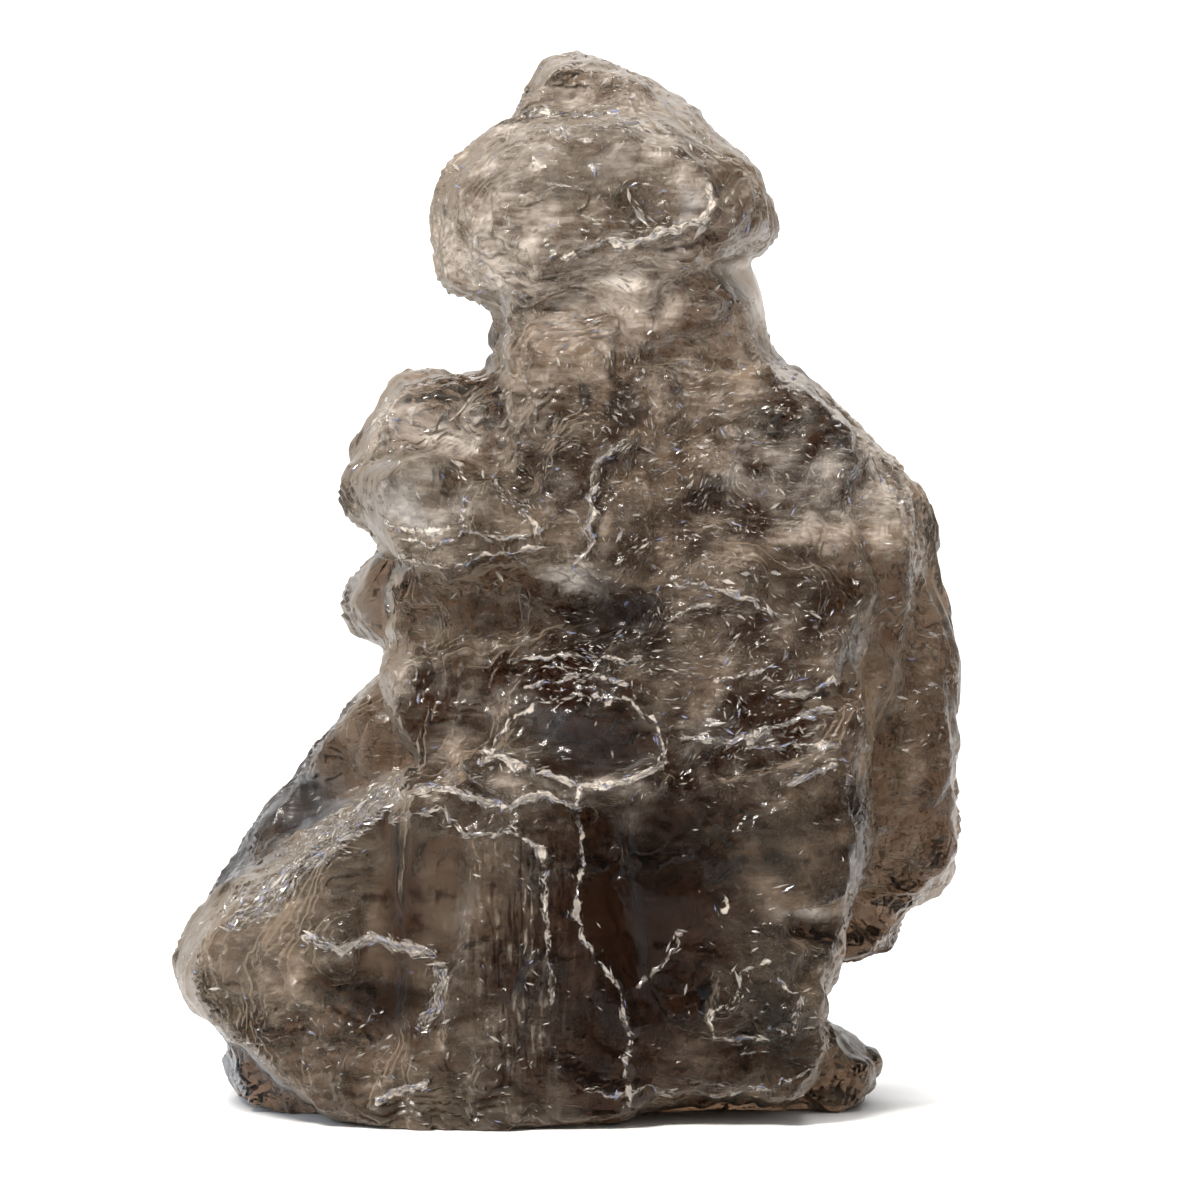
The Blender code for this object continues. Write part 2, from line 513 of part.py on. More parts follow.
def trim_base(item):
    """Cut the base level at z = 0."""
    half = (TRIM_REACH / 2, TRIM_REACH / 2, BASE_SINK / 2)
    corners = box_corners((0.0, 0.0, -BASE_SINK / 2), half)
    cutter = add_cutter("base_trim", hull_mesh("base_trim", corners))
    cut = item.modifiers.new("level_base", "BOOLEAN")
    cut.operation = "DIFFERENCE"
    cut.solver = "EXACT"
    cut.object = cutter


def build_crystal():
    """The whole specimen as one object."""
    mass = united_mass()
    mesh = evaluated_mesh(mass)
    bpy.data.objects.remove(mass, do_unlink=True)
    break_surface(mesh)
    centred(mesh)
    mesh.name = "selenite_crystal"
    crystal = add_object("selenite_crystal", mesh)
    skin = crystal.modifiers.new("skin", "REMESH")
    skin.mode = "VOXEL"
    skin.voxel_size = SKIN_GRAIN * MM
    triangles = sum(len(face.vertices) - 2 for face in evaluated_mesh(crystal).polygons)
    reduce = crystal.modifiers.new("facets", "DECIMATE")
    reduce.ratio = TARGET_TRIANGLES / triangles
    trim_base(crystal)
    mesh.materials.clear()
    mesh.materials.append(stone_material())
    return crystal


clear_scene()
build_crystal()
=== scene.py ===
"""Dresses a smoky selenite crystal: fine cleavage relief, a see-through smoky stone and a plain studio.

Metres, +Z up, the broad cleavage face looks along -Y.
"""
import math

import bmesh
import bpy
import numpy as np
from bpy.props import FloatProperty, FloatVectorProperty, IntProperty, PointerProperty
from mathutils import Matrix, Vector


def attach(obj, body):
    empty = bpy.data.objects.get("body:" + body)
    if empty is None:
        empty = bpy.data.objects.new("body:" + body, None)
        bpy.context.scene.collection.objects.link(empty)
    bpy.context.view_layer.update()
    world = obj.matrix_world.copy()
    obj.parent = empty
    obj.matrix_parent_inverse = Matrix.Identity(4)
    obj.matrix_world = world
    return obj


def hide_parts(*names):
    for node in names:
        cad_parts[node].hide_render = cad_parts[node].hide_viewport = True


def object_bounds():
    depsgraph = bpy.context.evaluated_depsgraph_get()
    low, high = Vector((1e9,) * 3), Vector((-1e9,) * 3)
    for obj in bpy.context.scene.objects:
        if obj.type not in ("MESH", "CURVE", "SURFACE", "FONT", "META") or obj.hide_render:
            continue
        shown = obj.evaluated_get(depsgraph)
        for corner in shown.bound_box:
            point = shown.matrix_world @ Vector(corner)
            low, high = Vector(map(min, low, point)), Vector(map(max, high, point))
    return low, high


bl_info = {
    "name": "Selenite crystal dresser",
    "version": (1, 0, 0),
    "blender": (4, 5, 0),
    "location": "3D View > Sidebar > Crystal",
    "description": "Fine relief, smoky see-through stone and a soft studio for a selenite crystal",
    "category": "Object",
}

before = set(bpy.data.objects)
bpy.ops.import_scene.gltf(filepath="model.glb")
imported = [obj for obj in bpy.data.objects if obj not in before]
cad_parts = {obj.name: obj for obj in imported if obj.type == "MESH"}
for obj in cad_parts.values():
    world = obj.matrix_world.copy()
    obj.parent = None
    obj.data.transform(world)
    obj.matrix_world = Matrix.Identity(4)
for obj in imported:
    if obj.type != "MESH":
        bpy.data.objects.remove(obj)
CAD_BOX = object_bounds()

MM = 0.001
NODE = "selenite_crystal"

# Noise: the length of its table and the multipliers that mix a cell's place
NOISE_VALUES = 8192
CELL_MIX = (73856093, 19349663, 83492791)

# A turn that takes each octave of noise off the axes of the one before
SKEW = np.array(((0.36, 0.48, -0.80), (-0.80, 0.60, 0.00), (0.48, 0.64, 0.60)))

# Normal of the front cleavage, about one long
FRONT = (0.10, -0.99, 0.06)

# Places on the stone, in millimetres: the middle and half widths (X, Y, Z) of a soft-edged patch, and
# what it adds. veil: how frosted it is, negative for a clear window. pale, stain, blue: its tint.
# dark: how near to black; painted shade in pockets, pits, hollows, slits, windows and the dark block. calm:
# how even. soft: how rounded. striae: how many upright dashes.
# glint: how many splinters. lines: the slope of its shingles along X and Z. rings: that of flakes
# round its middle.
PLACES = {
    "cap": dict(at=(1.5, -4.0, 55.0), half=(11.5, 12.0, 9.5), veil=0.3, pale=0.55, stain=-0.1, glint=0.5),
    "cap_left_rim": dict(at=(-5.0, -7.0, 50.5), half=(4.0, 5.0, 3.5), veil=0.2, pale=0.42, glint=0.9),
    "cap_face": dict(at=(0.6, -9.0, 56.3), half=(4.2, 4.0, 2.6), rings=0.12, calm=0.6, blue=0.3, pale=-0.1,
                     soft=0.6),
    "cap_flake": dict(at=(7.3, -9.0, 54.1), half=(1.0, 3.0, 1.4), veil=0.2, pale=0.2, blue=0.6,
                      calm=0.3),
    # cap_hollow and cap_pit: their dark is painted shade in a hollow and a pit
    "cap_hollow": dict(at=(3.7, -9.0, 53.8), half=(2.6, 3.0, 1.2), pale=-0.5, dark=0.35, glint=0.9, rings=0.3),
    "cap_pit": dict(at=(8.9, -8.0, 55.6), half=(0.8, 3.0, 0.5), dark=0.9, stain=0.6),
    "cap_stain": dict(at=(7.3, -8.0, 51.6), half=(2.0, 3.0, 0.5), stain=1.2, pale=0.2),
    "cap_left_stain": dict(at=(-6.6, -5.0, 53.2), half=(0.7, 4.0, 0.9), stain=0.8, dark=0.3),
    "white_crystals": dict(at=(3.3, -8.0, 49.6), half=(1.0, 3.0, 0.5), veil=0.6, pale=1.0, blue=0.6),
    "neck": dict(at=(3.0, -5.0, 46.5), half=(8.0, 8.0, 3.5), veil=0.1, pale=0.36, stain=0.7, glint=0.7,
                 lines=(0.2, 0.0)),
    "neck_left": dict(at=(-1.5, -5.0, 46.6), half=(3.0, 5.0, 1.4), stain=0.5, dark=0.1),
    "nodule": dict(at=(10.8, 5.0, 48.2), half=(2.8, 6.0, 3.4), veil=0.5, pale=1.8, stain=-1.6, calm=0.9,
                   soft=0.8),
    "nodule_stain": dict(at=(7.8, 1.0, 49.0), half=(1.4, 5.0, 0.6), stain=1.0, dark=0.6),
    "shoulder_lens": dict(at=(-8.9, -10.0, 37.0), half=(4.8, 4.5, 3.0), veil=0.2, pale=0.36, blue=0.45,
                          stain=-0.9, rings=0.8, soft=0.9),
    "shoulder_calm": dict(at=(-9.0, -10.0, 37.5), half=(2.6, 4.0, 1.7), calm=0.55, pale=0.05),
    "shoulder_rim": dict(at=(-13.6, -6.0, 39.0), half=(1.4, 6.0, 2.6), dark=0.3),
    "shoulder_top": dict(at=(-8.0, -5.0, 41.4), half=(5.0, 6.0, 2.0), pale=1.0, stain=-0.1, glint=0.8),
    "shoulder_band": dict(at=(-8.5, -8.0, 39.9), half=(4.5, 4.0, 0.7), stain=0.9, glint=0.8),
    "chest": dict(at=(4.5, -9.0, 38.0), half=(8.0, 6.0, 6.0), stain=0.3, dark=0.26, glint=1.3),
    "right_shoulder": dict(at=(15.0, -3.0, 38.5), half=(7.0, 9.0, 5.0), veil=0.1, pale=1.0, stain=0.2,
                           glint=1.2),
    "pale_band": dict(at=(14.6, -6.0, 34.5), half=(4.2, 5.0, 0.8), veil=0.4, pale=0.22, stain=1.0),
    "band_stain": dict(at=(17.6, -4.0, 34.8), half=(0.9, 5.0, 0.6), stain=1.0, dark=0.4),
    "band_shade": dict(at=(14.0, -6.0, 32.3), half=(4.6, 5.0, 1.4), dark=0.3, stain=0.2, calm=0.6),
    "shoulder_lump": dict(at=(15.6, -5.0, 38.3), half=(1.3, 4.0, 0.8), veil=0.3, pale=0.45, glint=1.0),
    "blue_fold": dict(at=(16.6, -6.0, 27.8), half=(1.1, 4.0, 1.6), veil=0.3, pale=0.45, blue=0.9),
    # The upper, black, chest and middle pockets: their dark is painted shade in hollows
    "upper_pocket": dict(at=(3.4, -9.0, 41.9), half=(1.6, 3.0, 1.3), dark=1.0, stain=0.8),
    "black_pocket": dict(at=(0.9, -9.0, 42.9), half=(0.7, 3.0, 0.7), dark=1.2),
    "chest_pocket": dict(at=(8.6, -10.0, 36.9), half=(1.7, 3.0, 1.4), dark=0.9, striae=1.0),
    "chest_lump": dict(at=(9.8, -10.0, 38.0), half=(0.9, 3.0, 0.7), veil=0.4, pale=0.6, glint=1.0),
    "middle_pocket": dict(at=(2.9, -9.0, 30.0), half=(3.6, 4.0, 2.3), dark=1.6, blue=0.5, calm=0.4),
    "white_patch": dict(at=(0.0, -10.0, 32.4), half=(1.5, 3.0, 0.9), veil=0.8, pale=0.9, blue=0.6),
    "dome": dict(at=(1.2, -12.0, 23.0), half=(4.6, 3.0, 2.2), veil=-0.1, dark=0.45, blue=0.6, calm=0.7,
                 soft=0.6),
    "dome_steps": dict(at=(0.3, -11.5, 26.9), half=(4.8, 3.0, 1.8), veil=-0.2, dark=0.3, glint=1.0,
                       lines=(0.0, -0.35)),
    "shelf": dict(at=(10.0, -9.0, 28.0), half=(8.0, 5.0, 4.5), stain=0.3, blue=0.1, glint=1.2,
                  lines=(0.0, -0.25)),
    "shelf_foot": dict(at=(11.0, -10.0, 22.6), half=(7.0, 4.0, 1.8), pale=0.52, glint=1.3,
                       lines=(0.0, -0.25)),
    "frosted_corner": dict(at=(-9.6, -7.0, 26.5), half=(2.0, 4.0, 1.6), veil=0.4, pale=0.4, stain=0.3,
                           glint=1.5),
    "left_flank": dict(at=(-6.0, -8.0, 23.8), half=(3.0, 4.0, 3.0), stain=0.4, pale=0.35, calm=0.4),
    "ledge": dict(at=(1.5, -13.0, 20.3), half=(5.5, 2.6, 0.6), veil=0.3, pale=0.45, stain=0.4, glint=1.4),
    "ledge_left": dict(at=(-5.5, -10.0, 20.8), half=(3.5, 3.0, 1.4), pale=0.25, stain=0.4, glint=1.6),
    # The dark block: its dark is painted shade, a dark surrounding seen through the clear stone
    "dark_block": dict(at=(3.6, -12.5, 11.0), half=(4.6, 4.0, 8.5), veil=-0.4, dark=1.15, calm=0.85),
    "block_right": dict(at=(10.6, -12.0, 15.0), half=(5.2, 4.0, 5.4), veil=0.0, stain=0.6, dark=0.65,
                        calm=0.6),
    "block_side": dict(at=(16.2, -7.0, 18.0), half=(2.2, 6.0, 9.0), dark=0.7, pale=-0.4, stain=0.8),
    "pink_patch": dict(at=(11.6, -12.0, 13.6), half=(2.4, 3.0, 1.2), veil=0.25, pale=0.25, stain=0.4,
                       glint=0.8),
    "cream_edge": dict(at=(14.2, -10.5, 12.9), half=(1.8, 3.0, 0.7), veil=0.7, pale=0.9, glint=1.4),
    "flakes": dict(at=(12.0, -11.0, 5.5), half=(3.8, 3.0, 4.8), stain=0.2, dark=0.65, glint=0.4, rings=0.2,
                   calm=0.4),
    "striae": dict(at=(-2.4, -13.0, 9.5), half=(3.4, 3.0, 9.0), dark=0.5, glint=0.3, lines=(0.35, 0.0),
                   striae=1.0, calm=0.3),
    "wedge_face": dict(at=(-8.5, -12.5, 13.0), half=(5.0, 3.0, 4.5), blue=0.2, lines=(0.08, 0.0),
                       calm=0.8, striae=0.3),
    "wedge_seam": dict(at=(-9.6, -12.0, 13.5), half=(1.1, 4.0, 6.5), veil=-0.25, pale=-0.3, calm=1.0,
                       soft=1.6),
    # The wedge window: its dark is painted shade seen through the clear stone
    "wedge_window": dict(at=(-10.8, -12.0, 7.9), half=(3.0, 3.5, 1.7), dark=1.4, stain=0.4, calm=0.3),
    "wedge_tip": dict(at=(-20.0, -4.0, 8.5), half=(4.5, 7.0, 4.0), veil=0.25, pale=-0.02, blue=0.2,
                      glint=0.6, soft=0.4),
    "wedge_foot": dict(at=(-12.0, -9.0, 4.5), half=(6.0, 5.0, 2.4), stain=0.3, dark=0.15, glint=0.7),
    "back_plate": dict(at=(-16.0, 5.0, 16.0), half=(8.0, 7.0, 8.0), stain=-1.6, blue=1.6, dark=1.5,
                       veil=0.3, pale=-0.4, glint=0.4),
    "back_pit": dict(at=(-16.8, 5.0, 18.4), half=(0.9, 9.0, 0.4), dark=1.5),
    "lower_lobe": dict(at=(-17.0, -1.0, 3.0), half=(5.0, 6.0, 3.0), stain=-1.2, blue=1.8, dark=0.35),
    "left_nub": dict(at=(-11.0, 3.0, 30.5), half=(3.5, 6.0, 3.5), veil=0.1, stain=-0.2, blue=0.6, dark=0.15),
    "column": dict(at=(20.0, 3.0, 20.0), half=(5.5, 9.0, 12.0), stain=0.35, lines=(0.2, 0.0), striae=0.3,
                   calm=0.3),
    "column_foot": dict(at=(17.5, 4.0, 10.0), half=(4.5, 7.0, 2.2), stain=1.6, dark=1.1, pale=-0.4),
    "toe": dict(at=(15.0, 1.0, 2.0), half=(4.5, 6.0, 2.6), stain=0.8, dark=0.35),
}

# Lines on the front, as corners (X, Z) in millimetres: the width, how pale or dark they are, how far
# their edge stands up, and how many splinters lie along each millimetre.
# The pale lines are frosted step edges with painted highlight standing in for their glints
LINES = {
    "block_edge": dict(route=[(0.5, 20.0), (0.7, 17.5), (0.9, 15.5), (0.6, 13.0), (0.8, 11.1), (1.9, 9.9),
                              (3.1, 8.8), (3.4, 5.5), (3.8, 2.0)], width=0.15, pale=0.85, rise=0.3, chips=2),
    "striae_edge": dict(route=[(-3.1, 17.7), (-1.5, 16.2), (-1.4, 13.2), (-1.0, 10.2), (-0.8, 7.6)],
                        width=0.18, pale=0.7, rise=0.2, chips=2),
    "wedge_edge": dict(route=[(-10.5, 18.0), (-7.5, 18.6), (-5.5, 17.4), (-3.1, 17.7)], width=0.16,
                       pale=0.6, rise=0.15, chips=3),
    "ledge_top": dict(route=[(-5.0, 22.0), (-3.9, 21.8), (-0.7, 20.7), (0.6, 20.3), (2.3, 20.4),
                             (5.3, 20.9)], width=0.2, pale=1.0, rise=0.2, chips=3),
    "ledge_steps": dict(route=[(-9.0, 19.8), (-6.4, 19.9), (-3.6, 19.0), (-1.2, 19.5), (0.4, 18.9)],
                        width=0.2, pale=0.9, rise=0.25, chips=6),
    "dome_outline": dict(route=[(-4.3, 22.4), (-3.4, 24.1), (-1.7, 24.9), (1.0, 25.6), (3.2, 25.2),
                                (5.3, 23.5), (5.6, 21.2)], width=0.09, pale=0.85, rise=0.15, chips=2),
    "dome_arc_low": dict(route=[(-2.6, 25.6), (0.4, 26.4), (3.4, 26.0)], width=0.12, pale=0.9, rise=0.12,
                         chips=4),
    "dome_arc_high": dict(route=[(-3.4, 27.2), (0.2, 27.8), (4.4, 27.6)], width=0.14, pale=0.9, rise=0.15,
                          chips=4),
    "crack": dict(route=[(3.4, 40.3), (2.3, 39.3), (1.8, 38.6), (2.0, 37.6), (1.4, 36.8), (1.9, 36.0),
                         (1.3, 35.2), (1.7, 34.4), (0.8, 33.4), (0.2, 32.6)], width=0.2, pale=0.5, rise=0.35,
                  chips=3),
    "crack_shade": dict(route=[(2.9, 39.3), (2.3, 38.4), (2.4, 37.4), (1.9, 36.6), (2.3, 35.8), (1.7, 35.0)],
                        width=0.22, dark=1.0, rise=-0.2, chips=0),
    "cap_brim": dict(route=[(-0.1, 51.4), (2.2, 52.0), (3.7, 51.9), (6.0, 52.6), (7.9, 52.9), (8.6, 54.0),
                            (8.2, 55.2)], width=0.22, pale=1.0, rise=0.35, chips=4),
    # cap_slit: its dark is painted shade in the slit
    "cap_slit": dict(route=[(5.8, 51.4), (7.2, 51.8), (8.8, 52.2)], width=0.16, dark=1.0, rise=-0.15,
                     chips=0),
    "cap_top": dict(route=[(-3.4, 59.2), (-1.6, 59.5), (2.2, 59.5), (5.2, 58.4)], width=0.16, pale=0.6,
                    rise=0.2, chips=4),
    "cap_face_top": dict(route=[(-1.1, 58.3), (0.2, 58.1), (1.6, 58.0)], width=0.14, pale=0.9, rise=0.15,
                         chips=5),
    "lens_edge": dict(route=[(-6.6, 39.0), (-5.9, 38.0), (-6.3, 36.9), (-6.2, 35.7), (-7.6, 35.2),
                             (-9.6, 35.2), (-11.2, 36.0)], width=0.12, pale=0.8, rise=-0.15, chips=2),
    "lens_right": dict(route=[(-4.3, 39.0), (-4.2, 38.0), (-3.8, 37.2), (-3.1, 36.8), (-1.8, 36.2),
                              (-1.5, 35.0)], width=0.12, pale=0.7, rise=0.18, chips=3),
    "lens_low": dict(route=[(-9.6, 34.5), (-8.1, 34.4), (-6.3, 34.9), (-4.9, 34.7), (-3.4, 34.5),
                            (-1.6, 35.0), (-0.9, 35.8)], width=0.13, pale=0.75, rise=0.2, chips=3),
    "lens_foot": dict(route=[(-9.4, 33.5), (-7.9, 32.9), (-6.5, 32.9), (-4.9, 33.6), (-3.1, 33.7),
                             (-1.3, 34.2)], width=0.13, pale=0.7, rise=0.2, chips=3),
    "shelf_upper": dict(route=[(5.7, 31.8), (7.7, 32.0), (9.9, 31.6), (12.0, 30.4), (13.1, 29.8)],
                        width=0.12, pale=0.8, rise=0.15, chips=4),
    "shelf_inner": dict(route=[(5.7, 30.2), (8.6, 30.6)], width=0.12, pale=0.9, rise=0.12, chips=5),
    "shelf_middle": dict(route=[(8.6, 26.7), (11.1, 26.5)], width=0.12, pale=0.9, rise=0.12, chips=5),
    "shelf_right": dict(route=[(12.4, 25.2), (14.0, 25.4), (16.0, 25.9)], width=0.12, pale=0.9, rise=0.15,
                        chips=5),
    # shelf_slot: its dark is painted shade in the slot
    "shelf_slot": dict(route=[(13.4, 24.9), (14.4, 25.1), (15.2, 25.3)], width=0.12, dark=1.2, rise=-0.1,
                       chips=0),
    "shelf_lower": dict(route=[(6.6, 23.0), (8.6, 22.7), (10.8, 22.8), (12.6, 23.4), (14.2, 24.1),
                               (15.4, 24.3)], width=0.16, pale=0.85, rise=0.2, chips=7),
    "shelf_foot_line": dict(route=[(10.4, 22.1), (13.1, 22.3), (15.6, 22.2)], width=0.12, pale=0.8,
                            rise=0.15, chips=6),
    "shelf_tail": dict(route=[(12.6, 20.2), (13.9, 20.8), (15.4, 21.1)], width=0.16, pale=0.7, rise=0.15,
                       chips=5),
    "flake_outer": dict(route=[(11.6, 9.7), (9.9, 9.2), (9.8, 7.9), (8.5, 7.1), (8.4, 5.4), (9.6, 5.3),
                               (11.2, 5.0)], width=0.13, pale=0.7, rise=0.18, chips=2),
    "flake_inner": dict(route=[(12.4, 9.0), (13.6, 7.4), (13.2, 5.6), (11.8, 6.2)], width=0.12, pale=0.6,
                        rise=0.14, chips=2),
    "scratch": dict(route=[(4.4, 8.6), (5.4, 9.3), (6.2, 10.2), (6.9, 11.4)], width=0.12, pale=1.0,
                    rise=0.08, chips=3),
    "bubble_left": dict(route=[(3.3, 14.9), (2.95, 14.4), (3.0, 13.8), (3.4, 13.5), (3.75, 13.9),
                               (3.7, 14.6), (3.3, 14.9)], width=0.08, pale=0.9, rise=0.12, chips=0),
    "bubble_right": dict(route=[(9.3, 14.1), (9.0, 13.6), (9.2, 12.9), (9.65, 12.8), (9.85, 13.3),
                                (9.7, 13.9), (9.3, 14.1)], width=0.08, pale=0.9, rise=0.12, chips=0),
    "slope": dict(route=[(-19.5, 12.0), (-16.5, 14.6), (-13.4, 17.2), (-10.4, 19.6)], width=0.8,
                  rise=0.0, chips=5),
    "wedge_flash": dict(route=[(-14.9, 11.2), (-13.2, 10.9), (-11.3, 11.3), (-9.6, 10.5), (-8.0, 10.6)],
                        width=0.3, pale=0.9, rise=0.2, chips=5),
    "window_rim": dict(route=[(-7.9, 9.8), (-7.3, 8.6), (-7.4, 7.1), (-8.2, 6.0)], width=0.3, pale=0.15,
                       rise=0.1, chips=7),
    "window_line": dict(route=[(-14.0, 7.0), (-12.6, 6.3), (-11.5, 5.2)], width=0.12, dark=1.0, rise=-0.08,
                        chips=0),
    "foot_left": dict(route=[(-11.4, 1.9), (-9.8, 2.1), (-8.1, 2.8)], width=0.24, pale=0.8, rise=0.15,
                      chips=4),
    "foot_edge": dict(route=[(1.1, 2.6), (2.6, 2.2), (4.6, 2.6), (7.4, 1.8), (10.2, 2.3), (12.3, 2.7),
                             (13.8, 3.6)], width=0.13, pale=0.65, rise=0.15, chips=2),
    "stain_upper": dict(route=[(-11.6, 13.7), (-9.0, 13.9), (-6.2, 13.6)], width=0.16, dark=0.9, rise=0.0,
                        chips=0),
    "stain_lower": dict(route=[(-10.9, 12.5), (-8.4, 12.3), (-6.2, 10.9), (-5.2, 11.1), (-3.9, 11.9)],
                        width=0.2, dark=0.9, rise=0.0, chips=0),
    "block_stain": dict(route=[(8.4, 16.1), (11.5, 15.9), (14.2, 15.4)], width=0.14, dark=0.9, rise=0.0,
                        chips=0),
}


# The cleavages: each one's direction, how far a face's normal may lean from it (the cosines where
# its steps start and where they are in full), and whether the shingle ramp guides its steps
CLEAVAGES = ((FRONT, (0.35, 0.7), True),
             ((0.95, 0.16, 0.27), (0.6, 0.85), False),
             ((-0.24, 0.14, 0.96), (0.6, 0.85), False))

# How far each of a broad and a fine step is riser, and how far from a line its step reaches (mm)
BROAD_RISER = 0.12
FINE_RISER = 0.2
LINE_REACH = 1.1

# The relief fades out between these heights over the flat base (mm)
BASE_FADE = (0.02, 0.6)

# Edges sharper than this stay crisp
CREASE = math.radians(20.0)

# Near black for dark inclusions, and for painted shade in pockets, pits, slits and windows, seen on clouded
# faces and through clear ones
INCLUSION_AND_SHADE = (0.022, 0.016, 0.012)
INCLUSION_AND_SHADE_SEEN_THROUGH = (0.08, 0.06, 0.045)

# Slivers: the brightest cream, the few blue glints, and half length, half width, crest and root (mm)
# PEARL is partly painted highlight; BLUE_GLINT is a painted reflection of the sky
PEARL = (0.90, 0.84, 0.76)
BLUE_GLINT = (0.42, 0.50, 0.85)
SLIVER_LENGTH = 0.15
SLIVER_WIDTH = 0.022
SLIVER_CREST = 0.035
SLIVER_ROOT = 0.06


class StoneSettings(bpy.types.PropertyGroup):
    """Sizes and colours of the stone."""
    grain: FloatProperty(name="Grain", description="Cell size of the fine surface",
                         default=0.13 * MM, unit="LENGTH")
    faces: IntProperty(name="Triangles", description="Triangles that the fine surface keeps", default=190000)
    step: FloatProperty(name="Step", description="Height of the broad cleavage steps",
                        default=0.34 * MM, unit="LENGTH")
    fine_step: FloatProperty(name="Fine step", description="Height of the fine cleavage steps",
                             default=0.15 * MM, unit="LENGTH")
    striation: FloatProperty(name="Striation", description="Depth of the upright growth lines",
                             default=0.08 * MM, unit="LENGTH")
    dimple: FloatProperty(name="Dimple", description="Depth of the solution dimples",
                          default=0.06 * MM, unit="LENGTH")
    swell: FloatProperty(name="Swell", description="Height of the soft swelling of the faces",
                         default=0.3 * MM, unit="LENGTH")
    smoke: FloatVectorProperty(name="Smoke", description="Colour that the stone lets through",
                               default=(0.50, 0.37, 0.25), size=3, subtype="COLOR")
    density: FloatProperty(name="Smoke density", description="How fast light fades inside, per metre",
                           default=290.0)
    clear: FloatVectorProperty(name="Clear face", description="Tint of a clear face",
                               default=(0.72, 0.67, 0.61), size=3, subtype="COLOR")
    body: FloatVectorProperty(name="Body", description="Colour of the clouded stone",
                              default=(0.165, 0.131, 0.097), size=3, subtype="COLOR")
    cream: FloatVectorProperty(name="Cream", description="Colour of frosted and broken faces",
                               default=(0.61, 0.545, 0.475), size=3, subtype="COLOR")
    brown: FloatVectorProperty(name="Stain", description="Colour of iron stain",
                               default=(0.22, 0.14, 0.082), size=3, subtype="COLOR")
    blue: FloatVectorProperty(name="Blue cast", description="Colour of the blue-grey crystals",
                              default=(0.20, 0.215, 0.235), size=3, subtype="COLOR")
    refraction: FloatProperty(name="Refraction", description="Index of refraction of gypsum", default=1.52)
    splinters: IntProperty(name="Splinters", description="Bright slivers that stand on the steps",
                           default=22000)


class StudioSettings(bpy.types.PropertyGroup):
    """The floor, the lights and the camera."""
    floor: FloatVectorProperty(name="Floor", description="Colour of the floor",
                               default=(0.93, 0.93, 0.93), size=3, subtype="COLOR")
    sky: FloatProperty(name="Sky", description="Strength of the light from all round", default=0.35)
    distance: FloatProperty(name="Distance", description="From the camera to the stone",
                            default=0.5, unit="LENGTH")
    elevation: FloatProperty(name="Elevation", description="How far the camera looks down",
                             default=math.radians(3.0), subtype="ANGLE")
    width: FloatProperty(name="Frame width", description="Width that the camera takes in at the stone",
                         default=72.0 * MM, unit="LENGTH")
    aim: FloatVectorProperty(name="Aim", description="Point that the camera looks at",
                             default=(1.95 * MM, 0.0, 30.4 * MM), size=3, subtype="TRANSLATION")


class Wire:
    """A shader socket that adds its own Math nodes when it is used in an expression."""

    def __init__(self, tree, socket):
        self.tree = tree
        self.socket = socket

    def maths(self, operation, *values, clamp=False):
        """One Math node on these values."""
        return self.tree.add("ShaderNodeMath", dict(operation=operation, use_clamp=clamp),
                             dict(enumerate(values)))

    def __add__(self, other):
        return self.maths("ADD", self, other)

    def __radd__(self, other):
        return self.maths("ADD", other, self)

    def __sub__(self, other):
        return self.maths("SUBTRACT", self, other)

    def __rsub__(self, other):
        return self.maths("SUBTRACT", other, self)

    def __mul__(self, other):
        return self.maths("MULTIPLY", self, other)

    def __rmul__(self, other):
        return self.maths("MULTIPLY", other, self)

    def clamped(self):
        """The value kept from 0 to 1."""
        return self.maths("ADD", self, 0.0, clamp=True)

    def between(self, low, high):
        """0 below low, 1 above high, eased between."""
        return self.tree.add("ShaderNodeMapRange", dict(interpolation_type="SMOOTHSTEP"),
                             {"Value": self, "From Min": low, "From Max": high})


